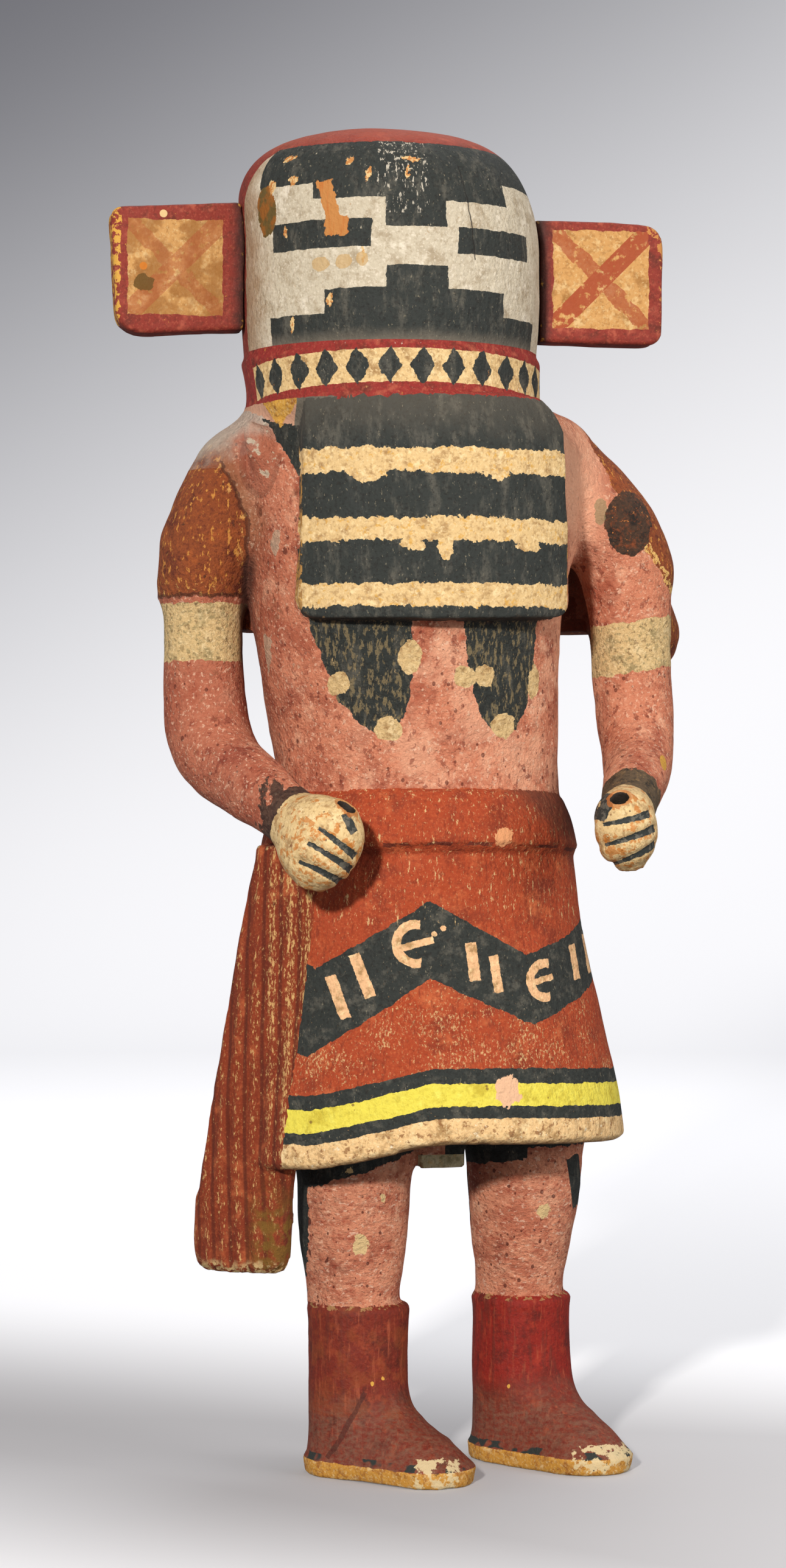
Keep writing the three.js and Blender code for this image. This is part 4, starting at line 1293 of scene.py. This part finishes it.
def ear_paint(side):
    p = Paint("ear_paint_" + side)
    x, y, z = p.x, p.y, p.z
    red = p.mottled(DARK_RED, RED_BROWN, RED_PALE, 6, 0.5)
    red = p.flaked(red, OCHRE, 1.4, 0.05, None, 0.7)
    shake = p.shaky(4, 0.6, 4)
    cream = p.mottled(EAR_CREAM, (150, 102, 48), CREAM, 5, 0.6)
    cream = p.flaked(cream, (120, 72, 34), 1, 0.05, None, 0.7)
    if side == "right":
        cream = p.coat(cream, (146, 94, 40), p.soft(p.noise(6, 3), 0.38, 0.58) * 0.8)
    middle = (-57, 311.7) if side == "right" else (55.3, 311.1)
    half = (12.3, 12.3) if side == "right" else (12.9, 12.9)
    a, b = x - middle[0] + shake, z - middle[1] + shake
    front = y < -2
    square = p.both(p.near(a, 0, half[0]), p.near(b, 0, half[1]), front)
    p.tone = p.coat(red, cream, square)
    # A cross from corner to corner, faded on the right ear
    faint = 0.5 if side == "right" else 0.95
    cross = p.either(p.near(a - b, 0, 3.7) * faint, p.near(a + b, 0, 2.9) * (0.8 * faint))
    wear = p.soft(p.noise(1.8, 5), 0.66, 0.54)
    p.lay((154, 66, 34), p.both(cross * wear, square))
    if side == "right":
        stain = p.spot(x + shake * 2, z + shake * 2, (-65, 307.5), 2.8, 2.2)
        p.lay((92, 64, 14), p.both(stain, front) * 0.9)
        p.lay((190, 110, 30), p.both(p.spot(x, z, (-65.2, 311.8), 1), front))
        p.lay(CREAM, p.both(p.spot(x, z, (-60, 325.4), 1), front))
        p.lay(OCHRE, p.both(x + shake < -71, p.patches(2, 0.5)))
    else:
        rubbed = x + z * 0.5 + p.shaky(2.6, 1.2, 4) > 230.6
        p.lay(WOOD, p.both(rubbed, p.patches(1.6, 0.5)))
        edge = x + p.shaky(2, 0.7) > 71
        p.lay(WOOD, edge * p.patches(3, 0.35))
    # Dark at the root, where the board meets the head
    root = p.soft(abs(x), 43.5, 39)
    p.lay(SOOT, root * 0.85)
    p.wear(OCHRE, 0.16, 0.7)
    return p.finished(p.noise(1.5, 4, (1, 1, 0.3)), depth=0.3, dull=0.76, grime=RED_BROWN)


# The figure: one carved piece

def held_in(points, name):
    """The points kept inside the box of the solid they stand for."""
    room = node_points(name) - AXIS
    return np.clip(points, room.min(0) + 0.02, room.max(0) - 0.02)


def make_figure():
    piece = smooth_skin("carved_figure", "figure", kept_figure_edges, 240, away_from_bores)
    mesh = piece.data
    points, normals = points_of(mesh), normals_of(mesh)
    part = parts_at(points, normals)
    set_points(mesh, held_in(points + normals * figure_relief(points, part)[:, None], "figure"))
    thin_out(piece, MOST_TRIANGLES)
    add_cavity(piece)
    mesh = piece.data
    mesh.materials.clear()
    makers = (body_paint, head_paint, bib_paint, kilt_paint, sash_paint, hand_paint, leg_paint, boot_paint)
    for maker in makers:
        mesh.materials.append(maker())
    centres = np.empty(len(mesh.polygons) * 3, np.float32)
    mesh.polygons.foreach_get("center", centres)
    ways = np.empty(len(mesh.polygons) * 3, np.float32)
    mesh.polygons.foreach_get("normal", ways)
    centres = centres.reshape(-1, 3).astype(float) / MM - AXIS
    part = parts_at(centres, ways.reshape(-1, 3).astype(float))
    mesh.polygons.foreach_set("material_index", part.astype(np.int32))
    mesh.update()
    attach(piece, "root")
    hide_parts("figure")


def make_ear(side):
    node = "ear_" + side
    piece = smooth_skin("carved_" + node, node, lambda spots: np.ones(len(spots), bool), 40)
    mesh = piece.data
    points, normals = points_of(mesh), normals_of(mesh)
    rise = 0.16 * lumps(points, 9, 21) + 0.08 * lumps(points, 3.5, 22)
    outer = fade(np.abs(points[:, 0]), 62, 74)
    rise -= 0.6 * outer * fade(lumps(points, 6, 23), 0.1, 0.8)
    set_points(mesh, held_in(points + normals * rise[:, None], node))
    mesh.shade_smooth()
    add_cavity(piece)
    mesh.materials.clear()
    mesh.materials.append(ear_paint(side))
    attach(piece, "root")
    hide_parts(node)


# The stage: a pale bowl of floor and backdrop, soft lights and the camera

# The photo's own view: 0.159 mm a pixel at the head's axis, from 954 mm away, at 178.7 mm high
PHOTO_SCALE = 0.159
PHOTO_HEIGHT = 2576
VIEW_DISTANCE = 954.0
VIEW_LEVEL = 178.7
VIEW_SHIFT = 0.7
VIEW_TURN = math.radians(10)
SENSOR = 36.0

# The paper's colours, its grey being painted shade, and the share of its brightness that glows as painted
# light, not from the lights
STAGE_WHITE = (241, 241, 244)
STAGE_SHADED_GREY = (108, 108, 114)
STAGE_FLOOR = (166, 164, 166)
STAGE_GLOW = 0.62
FLOOR_GLOW = 0.25


def make_stage():
    flat, rise, high, sides, rows = 1500.0, 700.0, 1500.0, 96, 16
    profile = [(0.0, 0.0), (flat, 0.0)]
    for i in range(1, rows + 1):
        angle = math.pi / 2 * i / rows
        profile.append((flat + rise * math.sin(angle), rise * (1 - math.cos(angle))))
    profile.append((flat + rise, rise + high))
    verts, faces = [(0.0, 0.0, 0.0)], []
    for radius, level in profile[1:]:
        for i in range(sides):
            angle = 2 * math.pi * i / sides
            verts.append((radius * math.cos(angle) * MM, radius * math.sin(angle) * MM, level * MM))
    for i in range(sides):
        after = (i + 1) % sides
        faces.append((0, 1 + i, 1 + after))
        for row in range(len(profile) - 2):
            low = 1 + row * sides
            faces.append((low + i, low + sides + i, low + sides + after, low + after))
    mesh = bpy.data.meshes.new("stage")
    mesh.from_pydata(verts, [], faces)
    mesh.shade_smooth()
    floor = bpy.data.objects.new("stage", mesh)
    bpy.context.scene.collection.objects.link(floor)
    # Paler to the doll's left and low down, and darkest in the upper corner on its right: painted light and
    # shade on the paper
    p = Paint("stage_paper_and_painted_light")
    across = p.x * math.cos(VIEW_TURN) - p.y * math.sin(VIEW_TURN)
    behind = p.x * math.sin(VIEW_TURN) + p.y * math.cos(VIEW_TURN)
    drift = p.noise(900.0, 1.0) * 120.0 - 60.0
    wall = p.coat(STAGE_WHITE, STAGE_SHADED_GREY, p.soft(p.z - across * 0.6 + drift, 60.0, 1150.0))
    far = p.soft(abs(behind + across * 0.5), 10.0, 270.0)
    ground = p.coat(STAGE_FLOOR, STAGE_WHITE, p.either(far, p.soft(across, -140.0, 260.0) * 0.4))
    tone = p.coat(ground, wall, p.soft(abs(behind), 560.0, 1500.0))
    p.links.new(tone, p.shader.inputs["Base Color"])
    p.links.new(tone, p.shader.inputs["Emission Color"])
    # The paper glows, more on the backdrop than on the floor: painted light.
    wall_share = p.soft(abs(behind), 120.0, 1100.0)
    p.put(wall_share * (STAGE_GLOW - FLOOR_GLOW) + FLOOR_GLOW, p.shader.inputs["Emission Strength"])
    p.put(p.noise(40.0) * 0.1 + 0.8, p.shader.inputs["Roughness"])
    p.shader.inputs["Specular IOR Level"].default_value = 0.1
    mesh.materials.append(p.material)
    floor.visible_diffuse = False
    floor.visible_glossy = False


def add_light(name, way, distance, size, power, tint=(1.0, 1.0, 1.0)):
    """A square soft light, seen from the middle of the doll in this direction: turn and height."""
    turn, rise = (math.radians(v) for v in way)
    toward = Vector((math.sin(turn) * math.cos(rise), -math.cos(turn) * math.cos(rise), math.sin(rise)))
    data = bpy.data.lights.new(name, "AREA")
    data.shape = "SQUARE"
    data.size = size
    data.energy = power
    data.color = tint
    light = bpy.data.objects.new(name, data)
    bpy.context.scene.collection.objects.link(light)
    light.location = Vector((0, 0, 0.18)) + toward * distance
    light.rotation_euler = (-toward).to_track_quat("-Z", "Y").to_euler()


def make_lights():
    add_light("key", (-24, 16), 1.5, 0.09, 24.0, (1.0, 0.97, 0.92))
    add_light("fill", (52, 14), 1.4, 0.8, 10.5, (1.0, 0.98, 0.95))
    add_light("top", (150, 66), 1.3, 0.8, 7.0)
    add_light("side", (-112, 12), 1.4, 0.7, 2.4, (0.96, 0.98, 1.0))
    world = bpy.data.worlds.new("room")
    world.use_nodes = True
    world.node_tree.nodes["Background"].inputs["Color"].default_value = (0.95, 0.96, 1.0, 1)
    world.node_tree.nodes["Background"].inputs["Strength"].default_value = 0.2
    bpy.context.scene.world = world
    bpy.context.scene.view_settings.view_transform = "Standard"


def make_camera():
    data = bpy.data.cameras.new("camera")
    data.sensor_fit = "VERTICAL"
    data.sensor_height = SENSOR
    data.lens = SENSOR * VIEW_DISTANCE / (PHOTO_HEIGHT * PHOTO_SCALE)
    camera = bpy.data.objects.new("camera", data)
    bpy.context.scene.collection.objects.link(camera)
    along = np.array([math.sin(VIEW_TURN), math.cos(VIEW_TURN), 0])
    right = np.array([math.cos(VIEW_TURN), -math.sin(VIEW_TURN), 0])
    place = AXIS + right * VIEW_SHIFT - along * VIEW_DISTANCE
    camera.location = (place[0] * MM, place[1] * MM, VIEW_LEVEL * MM)
    camera.rotation_euler = (math.pi / 2, 0, -VIEW_TURN)
    bpy.context.scene.camera = camera


make_camera()
make_stage()
make_lights()
make_figure()
for ear_side in ("right", "left"):
    make_ear(ear_side)
